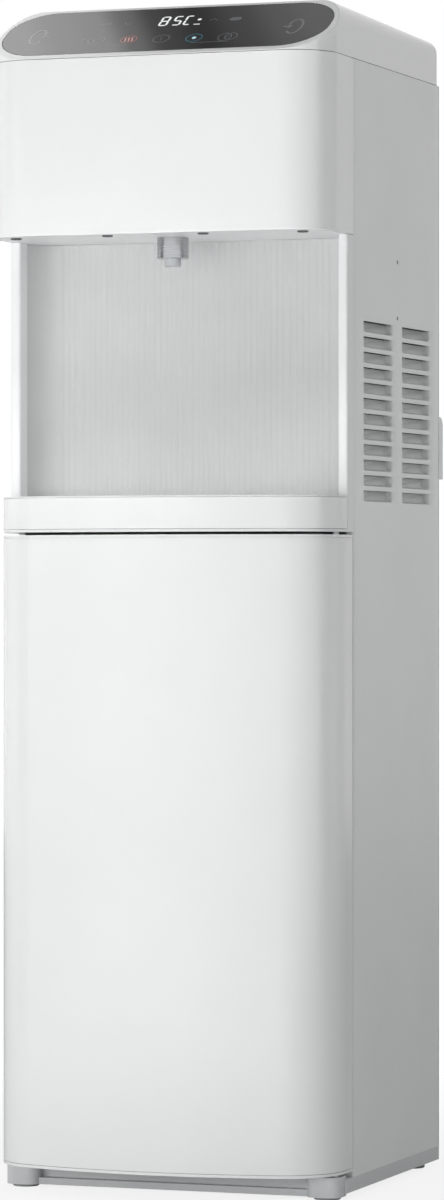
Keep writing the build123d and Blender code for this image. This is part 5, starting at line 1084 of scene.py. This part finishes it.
# Studio floor: a round board painted matt white. To the camera it runs from near white under
# the cooler to plain white a metre away, and it keeps the cooler's shadow.
FLOOR_R = 6.0
FLOOR_STEPS = 96
FADE = (0.25, 0.95)
NEAR_WHITE = 0.84
shape = bmesh.new()
bmesh.ops.create_circle(shape, cap_ends=True, segments=FLOOR_STEPS, radius=FLOOR_R)
floor = add_object("studio_floor", as_mesh(shape, "studio_floor"))
paint, tree, shader, place = new_finish(
    "floor_white_paint", Roughness=0.9, Base_Color="#f8f8f8", Specular_IOR_Level=0.0
)
distance = add_node(tree, "ShaderNodeVectorMath", {0: place}, operation="LENGTH")
fade = add_node(
    tree, "ShaderNodeMapRange",
    {"Value": distance.outputs["Value"], "From Min": FADE[0], "From Max": FADE[1],
     "To Min": NEAR_WHITE, "To Max": 1.0},
)
white = add_node(tree, "ShaderNodeEmission", {"Color": "#ffffff", "Strength": 1.0})
seen = add_node(tree, "ShaderNodeLightPath").outputs["Is Camera Ray"]
share = add_node(tree, "ShaderNodeMath", {0: fade, 1: seen}, operation="MULTIPLY")
blend = add_node(tree, "ShaderNodeMixShader", {"Fac": share, 1: shader, 2: white})
feed(tree, tree.nodes["Material Output"], {"Surface": blend})
floor.data.materials.append(paint)


# Lamps: a low soft box in front, one at the left for the rounded edges and one above for the
# floor; a strip for the foot of the niche, and three spots for the deck, the niche and the lid.
def hang_lamp(name, kind, place, aim, power, **settings):
    """A lamp that hangs at a place and points at another, and shows in no mirror."""
    lamp = add_object(name, bpy.data.lights.new(name, kind))
    point(lamp, place, Vector(aim) - Vector(place))
    lamp.data.energy = power
    for setting, value in settings.items():
        setattr(lamp.data, setting, value)
    lamp.visible_camera = False
    lamp.visible_glossy = False


for name, place, aim, power, width, height, spread in (
    ("key_lamp", (-1.0, -3.9, 0.45), (0.0, 0.0, 0.2), 46.0, 3.0, 0.8, 180.0),
    ("rim_lamp", (-4.0, -0.9, 0.7), (0.0, 0.0, 0.45), 21.0, 2.0, 2.4, 180.0),
    ("ground_lamp", (-0.2, -2.0, 2.6), (-0.2, -1.99, 0.0), 24.0, 2.4, 2.0, 50.0),
    ("sill_lamp", (0.1, -1.05, 1.31), (-0.012, -0.06, 0.628), 0.03, 0.32, 0.03, 7.0),
):
    hang_lamp(name, "AREA", place, aim, power, shape="RECTANGLE", size=width, size_y=height,
              spread=radians(spread))

SPOT_BLEND = 0.8
SPOT_R = 0.12
for name, place, aim, power, cone in (
    ("deck_lamp", (0.4, -1.3, 0.12), (-0.02, -0.11, 0.815), 11.0, 7.0),
    ("cheek_lamp", (1.3, -2.2, 0.74), (-0.14, -0.08, 0.725), 75.0, 5.0),
    ("lid_lamp", (-0.6, -1.6, 3.0), (0.0, -0.1, 1.09), 12.0, 8.0),
):
    hang_lamp(name, "SPOT", place, aim, power, spot_size=radians(cone), spot_blend=SPOT_BLEND,
              shadow_soft_size=SPOT_R)


# Graded card: it hangs over the head, out of the view, and only shows in the glass, as the
# grey ramp of a studio does: bright on the left, dark in the middle and pale on the right.
CARD_AT = Vector((-0.42, 0.485, 1.973))
CARD_ALONG = Vector((1.0, 0.0, 0.0))
CARD_FACING = Vector((0.35, -0.512, -0.784))
CARD_HALF_W = 0.9
CARD_HALF_H = 0.5
CARD_SPAN = (-0.602, -0.241)
CARD_LEAN = -0.8
CARD_FULL = 2.5
CARD_TONES = [(0.0, 2.5), (0.14, 2.1), (0.28, 1.85), (0.38, 1.0), (0.48, 0.40), (0.62, 0.23),
              (0.76, 0.43), (0.9, 0.68), (1.0, 0.81)]


def hang_board(name, middle, along, up, material):
    """A flat board of the studio that only mirror rays meet."""
    corners = [middle + along * u + up * v for u, v in ((-1, -1), (1, -1), (1, 1), (-1, 1))]
    mesh = bpy.data.meshes.new(name)
    mesh.from_pydata(corners, [], [(0, 1, 2, 3)])
    mesh.materials.append(material)
    board = add_object(name, mesh)
    board.visible_camera = False
    board.visible_diffuse = False
    board.visible_shadow = False
    board.visible_transmission = False


glow, tree, shader, place = new_finish("card_graded_glow")
spot = add_node(tree, "ShaderNodeSeparateXYZ", {"Vector": place})
over = add_node(
    tree, "ShaderNodeMath", {0: spot.outputs["Z"], 1: CARD_AT.z}, operation="SUBTRACT"
)
lean = add_node(
    tree, "ShaderNodeMath", {0: over, 1: CARD_LEAN, 2: spot.outputs["X"]},
    operation="MULTIPLY_ADD",
)
along = add_node(
    tree, "ShaderNodeMapRange",
    {"Value": lean, "From Min": CARD_SPAN[0], "From Max": CARD_SPAN[1]},
)
ramp = add_node(tree, "ShaderNodeValToRGB", {"Fac": along})
ramp.color_ramp.interpolation = "EASE"
while len(ramp.color_ramp.elements) < len(CARD_TONES):
    ramp.color_ramp.elements.new(0.5)
for element, (place_along, tone) in zip(ramp.color_ramp.elements, CARD_TONES):
    element.position = place_along
    element.color = (tone / CARD_FULL, tone / CARD_FULL, tone / CARD_FULL, 1.0)
lit = add_node(tree, "ShaderNodeEmission", {"Color": ramp, "Strength": CARD_FULL})
feed(tree, tree.nodes["Material Output"], {"Surface": lit})
card_up = CARD_FACING.cross(CARD_ALONG).normalized() * CARD_HALF_H
hang_board("graded_card", CARD_AT, CARD_ALONG * CARD_HALF_W, card_up, glow)


# Dark flags: two black boards stand beside the cooler, out of the view, turned to it. They draw
# the dark edges on the turned outlet.
FLAG_HALF_W = 0.45
FLAG_HALF_H = 1.2
black_paint = finish(
    "flag_black_paint", {"brush": (30.0, 2.0)}, tones=("brush", "#050505", "#0b0b0b"),
    Roughness=0.9,
)
for name, x, y in (("flag_left", -2.0, -0.95), ("flag_right", 2.0, 0.1)):
    sideways = Vector((y, -x, 0.0)).normalized() * FLAG_HALF_W
    upright = Vector((0.0, 0.0, FLAG_HALF_H))
    hang_board(name, Vector((x, y, 0.0)) + upright, sideways, upright, black_paint)


# Room: its walls look plain white to the camera, in mirrors and through glass, and light the
# cooler from all sides at a fraction of that.
ROOM_LIGHT = 0.37
world = bpy.data.worlds.new("studio_room")
scene.world = world
world.use_nodes = True
tree = world.node_tree
rays = add_node(tree, "ShaderNodeLightPath").outputs
direct = add_node(
    tree, "ShaderNodeMath", {0: rays["Is Camera Ray"], 1: rays["Is Glossy Ray"]},
    operation="MAXIMUM",
)
shown = add_node(
    tree, "ShaderNodeMath", {0: direct, 1: rays["Is Transmission Ray"]}, operation="MAXIMUM"
)
room = add_node(tree, "ShaderNodeBackground", {"Color": "#ffffff", "Strength": ROOM_LIGHT})
screen = add_node(tree, "ShaderNodeBackground", {"Color": "#ffffff", "Strength": 1.0})
mixed = add_node(tree, "ShaderNodeMixShader", {"Fac": shown, 1: room, 2: screen})
feed(tree, tree.nodes["World Output"], {"Surface": mixed})
